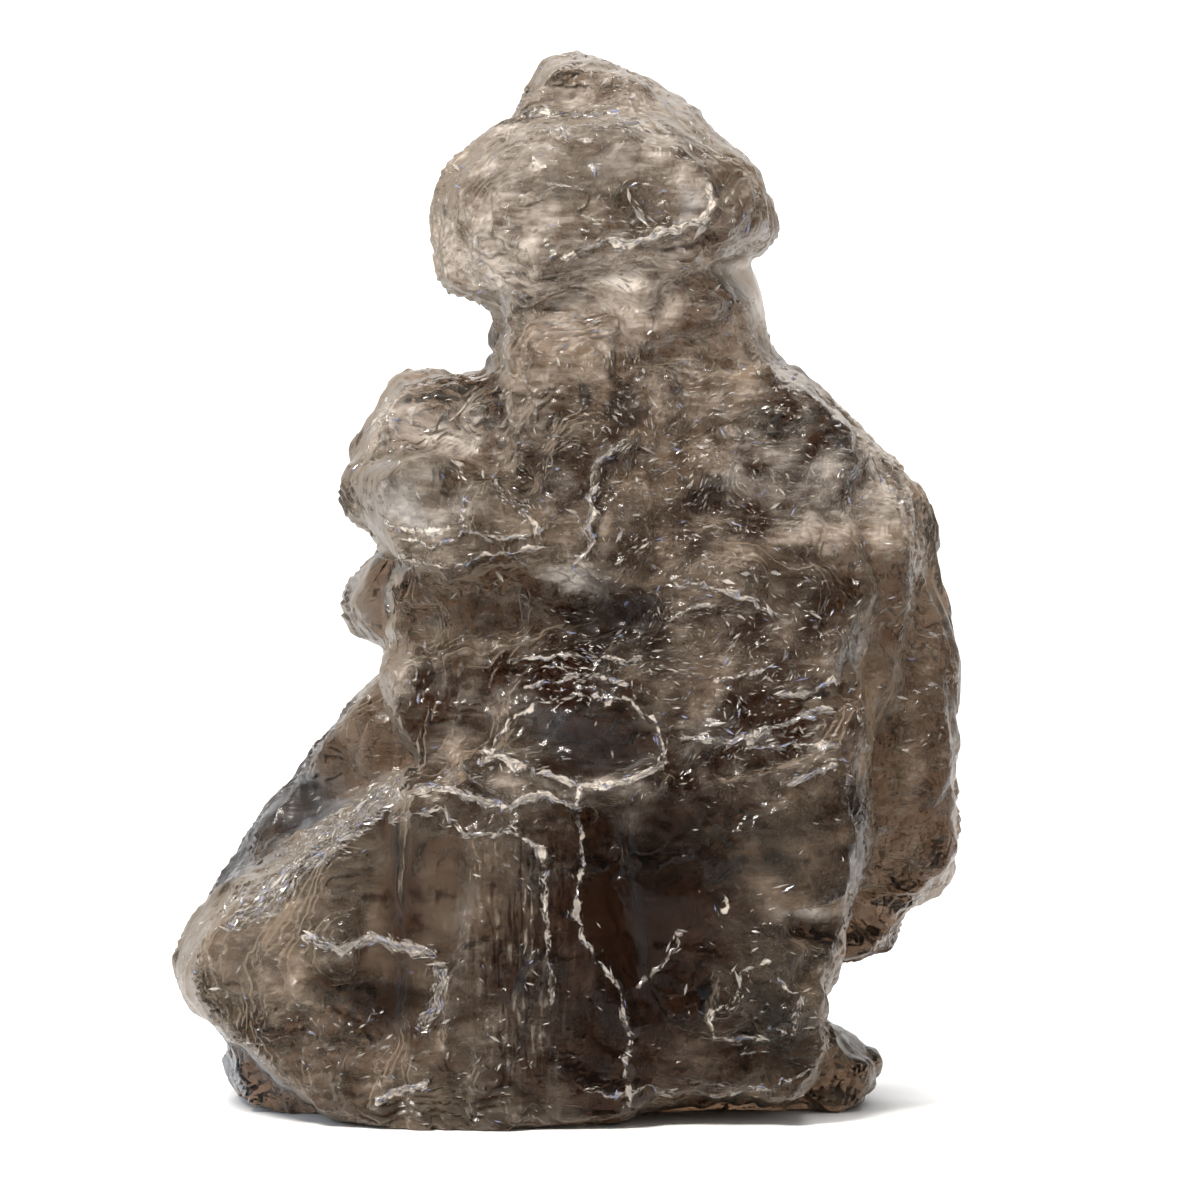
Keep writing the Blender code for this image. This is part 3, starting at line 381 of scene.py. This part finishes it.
class Tree:
    """A material's node tree."""

    def __init__(self, name):
        self.material = bpy.data.materials.new(name)
        self.material.use_nodes = True
        self.nodes = self.material.node_tree.nodes
        self.links = self.material.node_tree.links
        self.nodes.clear()

    def add(self, kind, settings=None, inputs=None, output=0):
        """A node of a kind, with its settings first, then its sockets' values or links."""
        node = self.nodes.new(kind)
        for name, value in (settings or {}).items():
            setattr(node, name, value)
        for name, value in (inputs or {}).items():
            if isinstance(value, Wire):
                self.links.new(value.socket, node.inputs[name])
            else:
                node.inputs[name].default_value = value
        return Wire(self, node.outputs[output])

    def attribute(self, name):
        """A number painted on the mesh's vertices."""
        return self.add("ShaderNodeAttribute", dict(attribute_name=name), output="Fac")

    def place(self, scale=(1.0, 1.0, 1.0)):
        """Object coordinates in millimetres, stretched."""
        here = self.add("ShaderNodeTexCoord", output="Object")
        return self.add("ShaderNodeMapping", None,
                        {"Vector": here, "Scale": tuple(value / MM for value in scale)})

    def noise(self, where, size, detail, rough=0.55):
        """Noise from 0 to 1 whose features are about size millimetres."""
        return self.add("ShaderNodeTexNoise", None,
                        {"Vector": where, "Scale": 1.0 / size, "Detail": detail,
                         "Roughness": rough, "Distortion": 0.0})

    def turned_away(self, low, high):
        """1 where the surface is turned away from the front cleavage, 0 where it lies along it."""
        normal = self.add("ShaderNodeNewGeometry", output="True Normal")
        normal = self.add("ShaderNodeVectorTransform", dict(vector_type="NORMAL", convert_to="OBJECT"),
                          {"Vector": normal})
        along = self.add("ShaderNodeVectorMath", dict(operation="DOT_PRODUCT"), {0: normal, 1: FRONT},
                         output="Value")
        return 1.0 - along.maths("ABSOLUTE", along).between(low, high)

    def mix(self, share, first, second):
        """One colour into another."""
        node = self.nodes.new("ShaderNodeMix")
        node.data_type = "RGBA"
        for index, value in ((0, share), (6, first), (7, second)):
            if isinstance(value, Wire):
                self.links.new(value.socket, node.inputs[index])
            else:
                node.inputs[index].default_value = value
        return Wire(self, node.outputs[2])

    def finish(self, surface, volume=None):
        """The material's output."""
        out = self.nodes.new("ShaderNodeOutputMaterial")
        self.links.new(surface.socket, out.inputs["Surface"])
        if volume:
            self.links.new(volume.socket, out.inputs["Volume"])
        return self.material


def opaque(colour):
    """A colour with full alpha."""
    return (*colour, 1.0)


def smooth_noise(points, size, seed):
    """Noise from -1 to 1: random lattice values blended between the corners of each cell.

    points are in millimetres, and size is the lattice's spacing, one number or one for each axis.
    """
    table = np.random.default_rng(seed).uniform(-1.0, 1.0, NOISE_VALUES)
    place = points / np.asarray(size, dtype=float)
    cell = np.floor(place).astype(np.int64)
    part = place - cell
    part = part * part * (3.0 - 2.0 * part)
    total = np.zeros(len(points))
    for corner in np.ndindex(2, 2, 2):
        mixed = (cell + corner) * CELL_MIX
        key = mixed[:, 0] ^ mixed[:, 1] ^ mixed[:, 2]
        weight = np.abs(1 - np.array(corner) - part).prod(axis=1)
        total += table[key % NOISE_VALUES] * weight
    return total


def smoothstep(value, low, high):
    """0 below low, 1 above high, eased between."""
    share = np.clip((value - low) / (high - low), 0.0, 1.0)
    return share * share * (3.0 - 2.0 * share)


def staircase(depth, step, riser):
    """How far to move to lie on flat steps joined by short risers, and a bump from 0 to 1 on the risers."""
    share = depth / step - np.floor(depth / step)
    rise = np.clip((share - (1.0 - riser)) / riser, 0.0, 1.0)
    return (rise - share + 0.5 * (1.0 - riser)) * step, 4.0 * rise * (1.0 - rise)


def vertex_array(mesh, name, width=3):
    """A vertex property as an array with one row a vertex."""
    values = np.empty(len(mesh.vertices) * width)
    mesh.vertices.foreach_get(name, values)
    return values.reshape(-1, width)


def paint(mesh, name, values):
    """Store one number for each vertex."""
    layer = mesh.attributes.new(name, "FLOAT", "POINT")
    layer.data.foreach_set("value", np.ascontiguousarray(values, dtype=np.float32))


def after_modifiers(item, name):
    """A new mesh with the object's modifiers applied; the object is removed."""
    graph = bpy.context.evaluated_depsgraph_get()
    mesh = bpy.data.meshes.new_from_object(item.evaluated_get(graph))
    mesh.name = name
    bpy.data.objects.remove(item, do_unlink=True)
    return mesh


def link(name, mesh):
    """A mesh as an object at the origin."""
    item = bpy.data.objects.new(name, mesh)
    bpy.context.scene.collection.objects.link(item)
    return item


def fine_copy(name, grain):
    """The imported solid's surface, merged and rebuilt with an even grain."""
    shape = bmesh.new()
    shape.from_mesh(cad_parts[name].data)
    bmesh.ops.remove_doubles(shape, verts=shape.verts, dist=1e-7)
    mesh = bpy.data.meshes.new("coarse")
    shape.to_mesh(mesh)
    shape.free()
    item = link("coarse", mesh)
    divide = item.modifiers.new("divide", "SUBSURF")
    divide.subdivision_type = "SIMPLE"
    divide.levels = 2
    mesh = after_modifiers(item, "divided")
    item = link("divided", mesh)
    soften = item.vertex_groups.new(name="soft")
    share = np.clip(0.2 + painted(vertex_array(mesh, "co") / MM, ("soft",))["soft"], 0.0, 1.0)
    for level in range(1, 11):
        soften.add(np.flatnonzero(np.round(10.0 * share) == level).tolist(), 0.1 * level, "REPLACE")
    smooth = item.modifiers.new("soften", "SMOOTH")
    smooth.vertex_group = "soft"
    smooth.factor = 0.5
    smooth.iterations = 60
    remesh = item.modifiers.new("even", "REMESH")
    remesh.mode = "VOXEL"
    remesh.voxel_size = grain
    return after_modifiers(item, "fine")


def blurred_normals(mesh, rounds):
    """Vertex normals averaged with their neighbours', so that broad faces count and ripples don't."""
    normals = vertex_array(mesh, "normal")
    ends = np.empty(len(mesh.edges) * 2, dtype=np.int32)
    mesh.edges.foreach_get("vertices", ends)
    first, second = ends.reshape(-1, 2).T
    for _ in range(rounds):
        total = normals.copy()
        for axis in range(3):
            total[:, axis] += np.bincount(first, normals[second, axis], len(normals))
            total[:, axis] += np.bincount(second, normals[first, axis], len(normals))
        normals = total / np.linalg.norm(total, axis=1, keepdims=True)
    return normals


def patch_share(points, place):
    """How much a named place counts at each point: exp(-1.2 r r), with r in half widths."""
    offset = (points - place["at"]) / np.maximum(place["half"], (0.0, 7.0, 0.0))
    return np.exp(-1.2 * (offset ** 2).sum(axis=1))


def painted(points, kinds):
    """The sum of each amount over the named places, with ragged edges."""
    ragged = points + 0.9 * np.column_stack([smooth_noise(points, 2.2, seed) for seed in (31, 32, 33)])
    totals = {kind: np.zeros(len(points)) for kind in kinds}
    for place in PLACES.values():
        wanted = [kind for kind in kinds if kind in place]
        if wanted:
            share = patch_share(ragged, place)
            for kind in wanted:
                totals[kind] += place[kind] * share
    return totals


def shingle_ramp(points):
    """A height whose level lines are where the steps run: straight across a place, or round it.

    lines: slope * (point - middle). rings: -slope * r, r the largest of three skewed distances.
    """
    total = np.zeros(len(points))
    for place in PLACES.values():
        away = (points - place["at"])[:, [0, 2]]
        if "lines" in place:
            total += patch_share(points, place) * (away @ np.array(place["lines"]))
        if "rings" in place:
            turns = np.radians((4.0, 58.0, 121.0))
            across = np.abs(away @ np.array((np.cos(turns), np.sin(turns)))).max(axis=1)
            total -= patch_share(points, place) * place["rings"] * across
    return total


def line_distance(points, route):
    """Each point's distance to a route in X and Z, and on which side of it the point lies."""
    flat = points[:, [0, 2]]
    nearest = np.full(len(points), 1e9)
    side = np.zeros(len(points))
    route = np.array(route)
    for start, end in zip(route[:-1], route[1:]):
        run = end - start
        along = np.clip((flat - start) @ run / (run @ run), 0.0, 1.0)
        off = flat - start - along[:, None] * run
        distance = np.hypot(*off.T)
        closer = distance < nearest
        nearest = np.where(closer, distance, nearest)
        side = np.where(closer, np.sign(run[0] * off[:, 1] - run[1] * off[:, 0]), side)
    return nearest, side


def jagged(points):
    """The points moved a little along X and Z by two noises, so that lines through them wander."""
    jag = [0.25 * smooth_noise(points, 0.6, seed) + 0.35 * smooth_noise(points, 1.9, seed + 2)
           for seed in (41, 42)]
    return points + np.column_stack((jag[0], np.zeros(len(points)), jag[1]))


def ridges(points):
    """1 on the lines that carry splinters, falling off as exp(-d d / w w) beside them."""
    near = np.zeros(len(points))
    points = jagged(points)
    for line in LINES.values():
        if line["chips"]:
            distance, _ = line_distance(points, line["route"])
            near = np.maximum(near, np.exp(-(distance / 0.3) ** 2))
    return near


def drawn_lines(points, front):
    """Paleness, darkness and rise of the named lines: exp(-d d / w w), broken here and there."""
    worn = 0.25 + 0.75 * smoothstep(smooth_noise(points, 1.1, 45), -0.7, 0.1)
    points = jagged(points)
    pale = np.zeros(len(points))
    dark = np.zeros(len(points))
    rise = np.zeros(len(points))
    for line in LINES.values():
        distance, side = line_distance(points, line["route"])
        edge = np.exp(-(distance / line["width"]) ** 2) * front
        pale = np.maximum(pale, line.get("pale", 0.0) * edge * worn)
        dark = np.maximum(dark, line.get("dark", 0.0) * edge * worn)
        step = np.exp(-(distance / LINE_REACH) ** 2) * 0.5 * (1.0 + np.tanh(side * distance / 0.08))
        rise += line["rise"] * (0.2 * edge + step * front)
    return pale, dark, rise


def wander(points):
    """The broad waves that bend the steps' level lines, longer along X than along Z."""
    return 1.0 * smooth_noise(points, (6.5, 4.6, 3.2), 21) + 0.42 * smooth_noise(points, (2.9, 2.0, 1.4), 22)


def front_share(points, normals):
    """1 on the front of the stone, 0 on its back and sides."""
    return smoothstep(normals @ np.array(FRONT), 0.1, 0.5) * smoothstep(-points[:, 1], 1.0, 4.0)


def relief(points, normals, stone):
    """Fine relief. Points and normals are arrays, in millimetres.

    Along each cleavage's normal a point moves to the nearest step of a staircase in its depth, to
    which noise and the shingle ramp are added: broad steps in some patches, fine ones in others, and
    few on calm faces. Along its own normal it moves by upright striation (noise stretched along Z), by
    dimples (even noise) and by the lines. Returns the moved points and the riser mask.
    """
    bend = wander(points)
    jag = 0.12 * smooth_noise(points, 0.8, 23) + 0.07 * smooth_noise(points, 0.34, 24)
    ramp = shingle_ramp(points)
    front = front_share(points, normals)
    busy = 1.0 - np.clip(painted(points, ("calm",))["calm"], 0.0, 0.95)
    patch = smoothstep(smooth_noise(points, (5.0, 3.5, 2.6), 25), -0.3, 0.4)
    moved = points.copy()
    mask = np.zeros(len(points))
    for square, share, shingled in CLEAVAGES:
        square = np.array(square) / np.linalg.norm(square)
        facing = smoothstep(np.abs(normals @ square), *share) * busy
        depth = points @ square + (ramp if shingled else 0.0) + bend + jag
        shift, riser = staircase(depth, stone.step / MM, BROAD_RISER)
        fine_depth = depth + 0.4 * bend + 1.2 * jag
        fine_shift, fine_riser = staircase(fine_depth, stone.fine_step / MM, FINE_RISER)
        fine = (1.0 - 0.6 * patch) * (0.12 + 0.88 * front)
        moved += square * ((0.9 * shift * patch + fine_shift * fine) * facing)[:, None]
        mask = np.maximum(mask, np.maximum(riser * patch, 0.7 * fine_riser * fine) * facing)
    rise = drawn_lines(points, front)[2]
    lines = smooth_noise(points, (0.5, 0.7, 9.0), 26) + 0.6 * smooth_noise(points, (0.3, 0.4, 4.0), 27)
    dents = smooth_noise(points, 1.3, 28) + 0.5 * smooth_noise(points, 0.6, 29)
    swell = stone.swell / MM * smooth_noise(points, (5.0, 5.0, 3.4), 30) * busy
    out = stone.striation / MM * lines * (1.0 - 0.75 * front) + stone.dimple / MM * dents * busy
    return moved + normals * (out + rise + swell)[:, None], mask


def fractal(points, size, octaves, seed):
    """Noise of a few octaves, each half as large and 0.6 as strong as the one before and turned."""
    total = np.zeros(len(points))
    turned = points
    for octave in range(octaves):
        turned = turned @ SKEW
        total += 0.6 ** octave * smooth_noise(turned, size / 2 ** octave, seed + octave)
    return 0.25 * total


def tints(points):
    """How frosted, pale, stained, blue, dark, calm and dashed the stone is: the places and cloudy noise."""
    total = painted(points, ("veil", "pale", "stain", "blue", "dark", "calm", "striae"))
    cloud = fractal(points, 4.5, 3, 51)
    patchy = fractal(points, 1.5, 3, 61)
    total["calm"] = np.clip(0.85 * total["calm"], 0.0, 1.0)
    busy = 1.0 - total["calm"]
    total["veil"] += 0.38 + busy * (1.0 * cloud + 0.7 * patchy)
    total["pale"] += 0.02 + busy * 0.6 * patchy
    total["stain"] = smoothstep(total["stain"] + 1.2 * cloud + 0.9 * patchy, 0.0, 1.1)
    total["blue"] = smoothstep(total["blue"] + 0.8 * patchy, 0.15, 0.9)
    total["dark"] += busy * 1.0 * fractal(points, 1.2, 3, 71)
    total["striae"] = np.clip(total["striae"], 0.0, 1.0)
    return total


def stone_mesh(stone):
    """The dressed stone's mesh, with its painted numbers."""
    mesh = fine_copy(NODE, stone.grain)
    points = vertex_array(mesh, "co") / MM
    moved, riser = relief(points, blurred_normals(mesh, 3), stone)
    low = np.array(CAD_BOX[0]) / MM
    rests = smoothstep(points[:, 2], low[2] + BASE_FADE[0], low[2] + BASE_FADE[1])[:, None]
    moved = points + (moved - points) * rests
    moved[:, 2] = np.maximum(moved[:, 2], low[2])
    mesh.vertices.foreach_set("co", (moved * MM).ravel())
    paint(mesh, "riser", riser)
    mesh.update()
    item = link("fine", mesh)
    reduce = item.modifiers.new("reduce", "DECIMATE")
    triangles = sum(len(face.vertices) - 2 for face in mesh.polygons)
    reduce.ratio = min(1.0, stone.faces / triangles)
    item.modifiers.new("triangles", "TRIANGULATE")
    mesh = after_modifiers(item, "selenite")
    points = vertex_array(mesh, "co") / MM
    pale, dark, _ = drawn_lines(points, front_share(points, blurred_normals(mesh, 3)))
    paint(mesh, "line", pale)
    for kind, total in tints(points).items():
        paint(mesh, kind, np.maximum(total, 1.2 * dark) if kind == "dark" else total)
    mesh.shade_smooth()
    mesh.set_sharp_from_angle(angle=CREASE)
    return mesh


def stone_material(stone):
    """Smoky gypsum: clear where it is clean, clouded and frosted where broken, brown where stained."""
    tree = Tree("smoky_selenite")
    speck = tree.noise(tree.place(), 0.35, 2.0, 0.6)
    streak = tree.noise(tree.place((1.0, 1.0, 0.12)), 0.28, 1.0, 0.6)
    layer = tree.noise(tree.place((0.3, 1.0, 1.0)), 0.45, 2.0, 0.6)
    busy = 1.0 - tree.attribute("calm")
    upright = tree.attribute("striae")
    # Paler step edges, drawn lines and upright dashes: frosted edges with painted highlight standing in for
    # their glints
    riser = tree.attribute("riser") * tree.turned_away(0.6, 0.93) * speck.between(0.3, 0.65)
    # Faces turned away from the front are frosted, and painted darker: painted shade against the side lights
    side = tree.turned_away(0.15, 0.6)
    line = (tree.attribute("line") + 0.7 * (speck - 0.5)).between(0.3, 0.6)
    edge_frost_and_highlight = (0.7 * riser + line + 0.4 * upright * streak.between(0.57, 0.67)).clamped()
    veil = (tree.attribute("veil") + 0.6 * busy * (layer - 0.5) + 0.5 * edge_frost_and_highlight + 0.9 * side).between(0.0, 1.1)
    pale = busy * (0.9 * (layer - 0.5) + 0.4 * (speck - 0.5)) + 0.75 * edge_frost_and_highlight
    # Less pale on the sides: painted shade
    pale = (pale + tree.attribute("pale") - 0.5 * side).between(0.0, 1.1)
    # Near black: upright striae and inclusions, plus painted shade from the places' and lines' dark amounts
    dark = 0.6 * upright * (1.0 - streak.between(0.36, 0.46)) - 0.6 * edge_frost_and_highlight
    dark = (dark + tree.attribute("dark") + 0.5 * (speck - 0.5)).between(0.1, 0.95)
    stain = tree.attribute("stain")
    dull = tree.mix(tree.attribute("blue"), opaque(stone.body), opaque(stone.blue))
    dull = tree.mix(0.85 * stain, dull, opaque(stone.brown))
    dull = tree.mix(pale, dull, opaque(stone.cream))
    dull = tree.mix(0.9 * dark, dull, opaque(INCLUSION_AND_SHADE))
    clear = tree.mix(0.6 * stain, opaque(stone.clear), opaque(tuple(1.6 * c for c in stone.brown)))
    clear = tree.mix(0.9 * dark, clear, opaque(INCLUSION_AND_SHADE_SEEN_THROUGH))
    bump = tree.add("ShaderNodeBump", None, {"Height": busy * layer, "Strength": 0.6, "Distance": 0.06 * MM})
    smooth = tree.add("ShaderNodeBsdfPrincipled", None, {
        "Base Color": clear, "Roughness": 0.03 + 0.12 * speck, "Specular Tint": opaque((0.15, 0.15, 0.15)),
        "IOR": stone.refraction, "Transmission Weight": 1.0, "Normal": bump})
    rough = tree.add("ShaderNodeBsdfPrincipled", None, {
        "Base Color": dull, "Roughness": 0.2 + 0.3 * speck, "IOR": stone.refraction,
        "Transmission Weight": 0.15, "Specular IOR Level": 0.1, "Normal": bump})
    surface = tree.add("ShaderNodeMixShader", None, {0: 0.94 * veil, 1: smooth, 2: rough})
    volume = tree.add("ShaderNodeVolumeAbsorption", None,
                      {"Color": opaque(stone.smoke), "Density": stone.density})
    return tree.finish(surface, volume)


def random_spots(mesh, weights, count, rng):
    """Random points on a triangle mesh, more where the weights are high, with their faces."""
    chosen = rng.choice(len(weights), count, p=weights / weights.sum())
    corners = np.empty(len(mesh.loops), dtype=np.int32)
    mesh.loops.foreach_get("vertex_index", corners)
    corners = corners.reshape(-1, 3)[chosen]
    share = np.sort(rng.random((count, 2)), axis=1)
    share = np.column_stack((share[:, 0], share[:, 1] - share[:, 0], 1.0 - share[:, 1]))
    return (vertex_array(mesh, "co")[corners] * share[:, :, None]).sum(axis=1) / MM, chosen


def face_values(mesh, name):
    """A painted number averaged over each triangle."""
    values = np.empty(len(mesh.vertices), dtype=np.float32)
    mesh.attributes[name].data.foreach_get("value", values)
    corners = np.empty(len(mesh.loops), dtype=np.int32)
    mesh.loops.foreach_get("vertex_index", corners)
    return values[corners].reshape(-1, 3).mean(axis=1)


def level_direction(points, normals):
    """Which way the steps run: across the slope of the depth and at right angles to the normal."""
    slope = np.zeros(points.shape)
    for axis in (0, 2):
        step = np.zeros(3)
        step[axis] = 0.15
        for sign in (1.0, -1.0):
            place = points + sign * step
            slope[:, axis] += sign * (shingle_ramp(place) + wander(place) + 3.0 * ridges(place))
    run = np.cross(slope, normals)
    return run / np.maximum(np.linalg.norm(run, axis=1, keepdims=True), 1e-9)


def splinter_mesh(source, stone):
    """Slivers of gypsum that stand on the steps, each a squashed, skewed octahedron.

    Its long axis lies in the surface, along the steps; corners: middle + long axis, + short axis,
    - long axis, - short axis, + normal (the crest, slid along the long axis) and - normal.
    """
    rng = np.random.default_rng(7)
    normals = np.empty(len(source.polygons) * 3)
    source.polygons.foreach_get("normal", normals)
    normals = normals.reshape(-1, 3)
    areas = np.empty(len(source.polygons))
    source.polygons.foreach_get("area", areas)
    centres = np.empty(len(source.polygons) * 3)
    source.polygons.foreach_get("center", centres)
    centres = centres.reshape(-1, 3) / MM
    crooked = jagged(centres)
    totals = painted(centres, ("glint", "calm"))
    density = 0.12 * face_values(source, "riser") ** 2 + 0.01
    density += np.clip(totals["glint"], 0.0, 3.0) * (0.15 + 2.0 * face_values(source, "riser") ** 2)
    density *= 1.0 - np.clip(totals["calm"], 0.0, 0.95)
    for line in LINES.values():
        distance, _ = line_distance(crooked, line["route"])
        front = smoothstep(-normals[:, 1], -0.1, 0.5) * smoothstep(-centres[:, 1], 1.0, 4.0)
        density += 0.6 * line["chips"] * np.exp(-(distance / (0.8 * line["width"])) ** 2) * front
    middle, faces = random_spots(source, areas * density, stone.splinters, rng)
    normal = normals[faces]
    along = level_direction(middle, normal) + rng.normal(0.0, 0.22, normal.shape)
    along -= normal * (along * normal).sum(axis=1, keepdims=True)
    along /= np.linalg.norm(along, axis=1, keepdims=True)
    across = np.cross(normal, along)
    size = np.exp(rng.normal(0.0, 0.5, (len(faces), 1)))
    along *= SLIVER_LENGTH * size
    across *= SLIVER_WIDTH * size * rng.uniform(0.6, 1.8, (len(faces), 1))
    crest = normal * SLIVER_CREST * size + along * rng.uniform(-0.5, 0.5, (len(faces), 1)) \
        + across * rng.uniform(-0.6, 0.6, (len(faces), 1))
    corners = np.stack((middle + along, middle + across, middle - along, middle - across,
                        middle + crest, middle - SLIVER_ROOT * normal), axis=1)
    low = CAD_BOX[0][2] / MM
    corners[:, :, 2] = np.maximum(corners[:, :, 2], low)
    corners = corners[middle[:, 2] > low + 0.4]
    sides = np.array([(0, 1, 4), (1, 2, 4), (2, 3, 4), (3, 0, 4), (1, 0, 5), (2, 1, 5), (3, 2, 5), (0, 3, 5)])
    faces = (sides[None] + 6 * np.arange(len(corners))[:, None, None]).reshape(-1, 3)
    mesh = bpy.data.meshes.new("splinters")
    mesh.from_pydata((corners.reshape(-1, 3) * MM).tolist(), [], faces.tolist())
    side = math.ceil(math.sqrt(len(corners)))
    cell = np.column_stack((np.arange(len(corners)) % side, np.arange(len(corners)) // side))
    triangle = np.array([(0.3, 0.3), (0.7, 0.3), (0.5, 0.7)])
    spots = (cell[:, None, None, :] + np.tile(triangle, (8, 1, 1))[None]) / side
    mesh.uv_layers.new(name="OFBake").data.foreach_set("uv", spots.ravel().astype(np.float32))
    paint(mesh, "tone", np.repeat(rng.random(len(corners)), 6))
    paint(mesh, "blue", np.repeat(rng.random(len(corners)), 6))
    return mesh


def splinter_material(stone):
    """Bright gypsum slivers: cream to white, a few bluish; the pale is partly painted highlight and the blue a
    painted sky reflection.
    """
    tree = Tree("selenite_splinter")
    tone = tree.attribute("tone")
    blue = tree.attribute("blue").between(0.90, 0.93)
    colour = tree.mix(tone, opaque(tuple(0.6 * c for c in stone.cream)), opaque(PEARL))
    colour = tree.mix(0.8 * blue, colour, opaque(BLUE_GLINT))
    shader = tree.add("ShaderNodeBsdfPrincipled", None, {
        "Base Color": colour, "Roughness": 0.08 + 0.2 * tone, "IOR": stone.refraction,
        "Transmission Weight": 0.7})
    return tree.finish(shader)


class CRYSTAL_OT_stone(bpy.types.Operator):
    """Build the dressed stone in place of the plain solid"""
    bl_idname = "crystal.stone"
    bl_label = "Stone"

    def execute(self, context):
        stone = context.scene.crystal_stone
        item = link("selenite_stone", stone_mesh(stone))
        item.data.materials.clear()
        item.data.materials.append(stone_material(stone))
        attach(item, "root")
        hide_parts(NODE)
        return {"FINISHED"}


class CRYSTAL_OT_splinters(bpy.types.Operator):
    """Scatter bright slivers over the steps of the dressed stone"""
    bl_idname = "crystal.splinters"
    bl_label = "Splinters"

    def execute(self, context):
        stone = context.scene.crystal_stone
        item = link("selenite_splinters", splinter_mesh(bpy.data.objects["selenite_stone"].data, stone))
        item.data.materials.append(splinter_material(stone))
        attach(item, "root")
        return {"FINISHED"}


def studio_floor(studio):
    """The floor that sweeps up into a backdrop: a straight run, a quarter circle and a wall."""
    reach, radius, side = 1.2, 0.5, 2.0
    turn = np.linspace(0.0, math.pi / 2, 24)
    y = np.concatenate(([-reach], reach + radius * np.sin(turn), [reach + radius]))
    z = np.concatenate(([0.0], radius * (1.0 - np.cos(turn)), [2.0]))
    x = np.array((-side, side))
    points = np.array([(a, b, c) for b, c in zip(y, z) for a in x])
    faces = [(2 * i, 2 * i + 1, 2 * i + 3, 2 * i + 2) for i in range(len(y) - 1)]
    mesh = bpy.data.meshes.new("floor")
    mesh.from_pydata(points.tolist(), [], faces)
    mesh.shade_smooth()
    tree = Tree("pale_floor")
    paper = tree.noise(tree.place(), 40.0, 2.0)
    tone = tree.mix(paper, opaque(tuple(0.97 * c for c in studio.floor)), opaque(studio.floor))
    mesh.materials.append(tree.finish(tree.add("ShaderNodeBsdfPrincipled", None,
                                               {"Base Color": tone, "Roughness": 0.8})))
    return link("floor", mesh)


def soft_light(name, place, target, size, power, colour):
    """A square soft light that faces a target."""
    light = bpy.data.lights.new(name, "AREA")
    light.size = size
    light.energy = power
    light.color = colour
    item = bpy.data.objects.new(name, light)
    item.location = place
    item.rotation_euler = (Vector(target) - Vector(place)).to_track_quat("-Z", "Y").to_euler()
    bpy.context.scene.collection.objects.link(item)


class CRYSTAL_OT_studio(bpy.types.Operator):
    """Set the floor, the lights and the camera"""
    bl_idname = "crystal.studio"
    bl_label = "Studio"

    def execute(self, context):
        studio = context.scene.crystal_studio
        scene = context.scene
        studio_floor(studio)
        world = bpy.data.worlds.new("studio")
        world.use_nodes = True
        sky = world.node_tree.nodes["Background"]
        sky.inputs["Color"].default_value = (0.96, 0.98, 1.0, 1.0)
        sky.inputs["Strength"].default_value = studio.sky
        scene.world = world
        aim = Vector(studio.aim)
        soft_light("key", (-0.20, -0.36, 0.48), aim, 0.14, 6.0, (1.0, 0.95, 0.89))
        soft_light("fill", (-0.5, -0.2, 0.2), aim, 0.5, 1.3, (0.72, 0.84, 1.0))
        soft_light("top", (0.15, 0.05, 0.55), aim, 0.2, 2.2, (1.0, 0.98, 0.95))
        soft_light("wall", (0.0, 0.9, 1.2), (0.0, 1.7, 0.4), 0.8, 22.0, (1.0, 1.0, 1.0))
        camera = bpy.data.cameras.new("camera")
        camera.sensor_width = 36.0
        camera.lens = camera.sensor_width * studio.distance / studio.width
        camera.clip_start = 0.01
        camera.clip_end = 20.0
        item = bpy.data.objects.new("camera", camera)
        back = Vector((0.0, -math.cos(studio.elevation), math.sin(studio.elevation)))
        item.location = aim + back * studio.distance
        item.rotation_euler = (-back).to_track_quat("-Z", "Y").to_euler()
        scene.collection.objects.link(item)
        scene.camera = item
        scene.view_settings.view_transform = "Standard"
        return {"FINISHED"}


class CRYSTAL_PT_panel(bpy.types.Panel):
    """The steps that dress the crystal"""
    bl_idname = "CRYSTAL_PT_panel"
    bl_label = "Crystal"
    bl_space_type = "VIEW_3D"
    bl_region_type = "UI"
    bl_category = "Crystal"

    def draw(self, context):
        for settings, steps in ((context.scene.crystal_stone, (CRYSTAL_OT_stone, CRYSTAL_OT_splinters)),
                                (context.scene.crystal_studio, (CRYSTAL_OT_studio,))):
            box = self.layout.box()
            for name in settings.__annotations__:
                box.prop(settings, name)
            for step in steps:
                box.operator(step.bl_idname)


CLASSES = (StoneSettings, StudioSettings, CRYSTAL_OT_stone, CRYSTAL_OT_splinters, CRYSTAL_OT_studio,
           CRYSTAL_PT_panel)


def register():
    """Make the classes and their settings known."""
    for item in CLASSES:
        bpy.utils.register_class(item)
    bpy.types.Scene.crystal_stone = PointerProperty(type=StoneSettings)
    bpy.types.Scene.crystal_studio = PointerProperty(type=StudioSettings)


def unregister():
    """Forget them again."""
    del bpy.types.Scene.crystal_studio
    del bpy.types.Scene.crystal_stone
    for item in reversed(CLASSES):
        bpy.utils.unregister_class(item)


def main():
    """Dress the stone and set the studio."""
    register()
    bpy.ops.crystal.stone()
    bpy.ops.crystal.splinters()
    bpy.ops.crystal.studio()


if __name__ == "__main__":
    main()
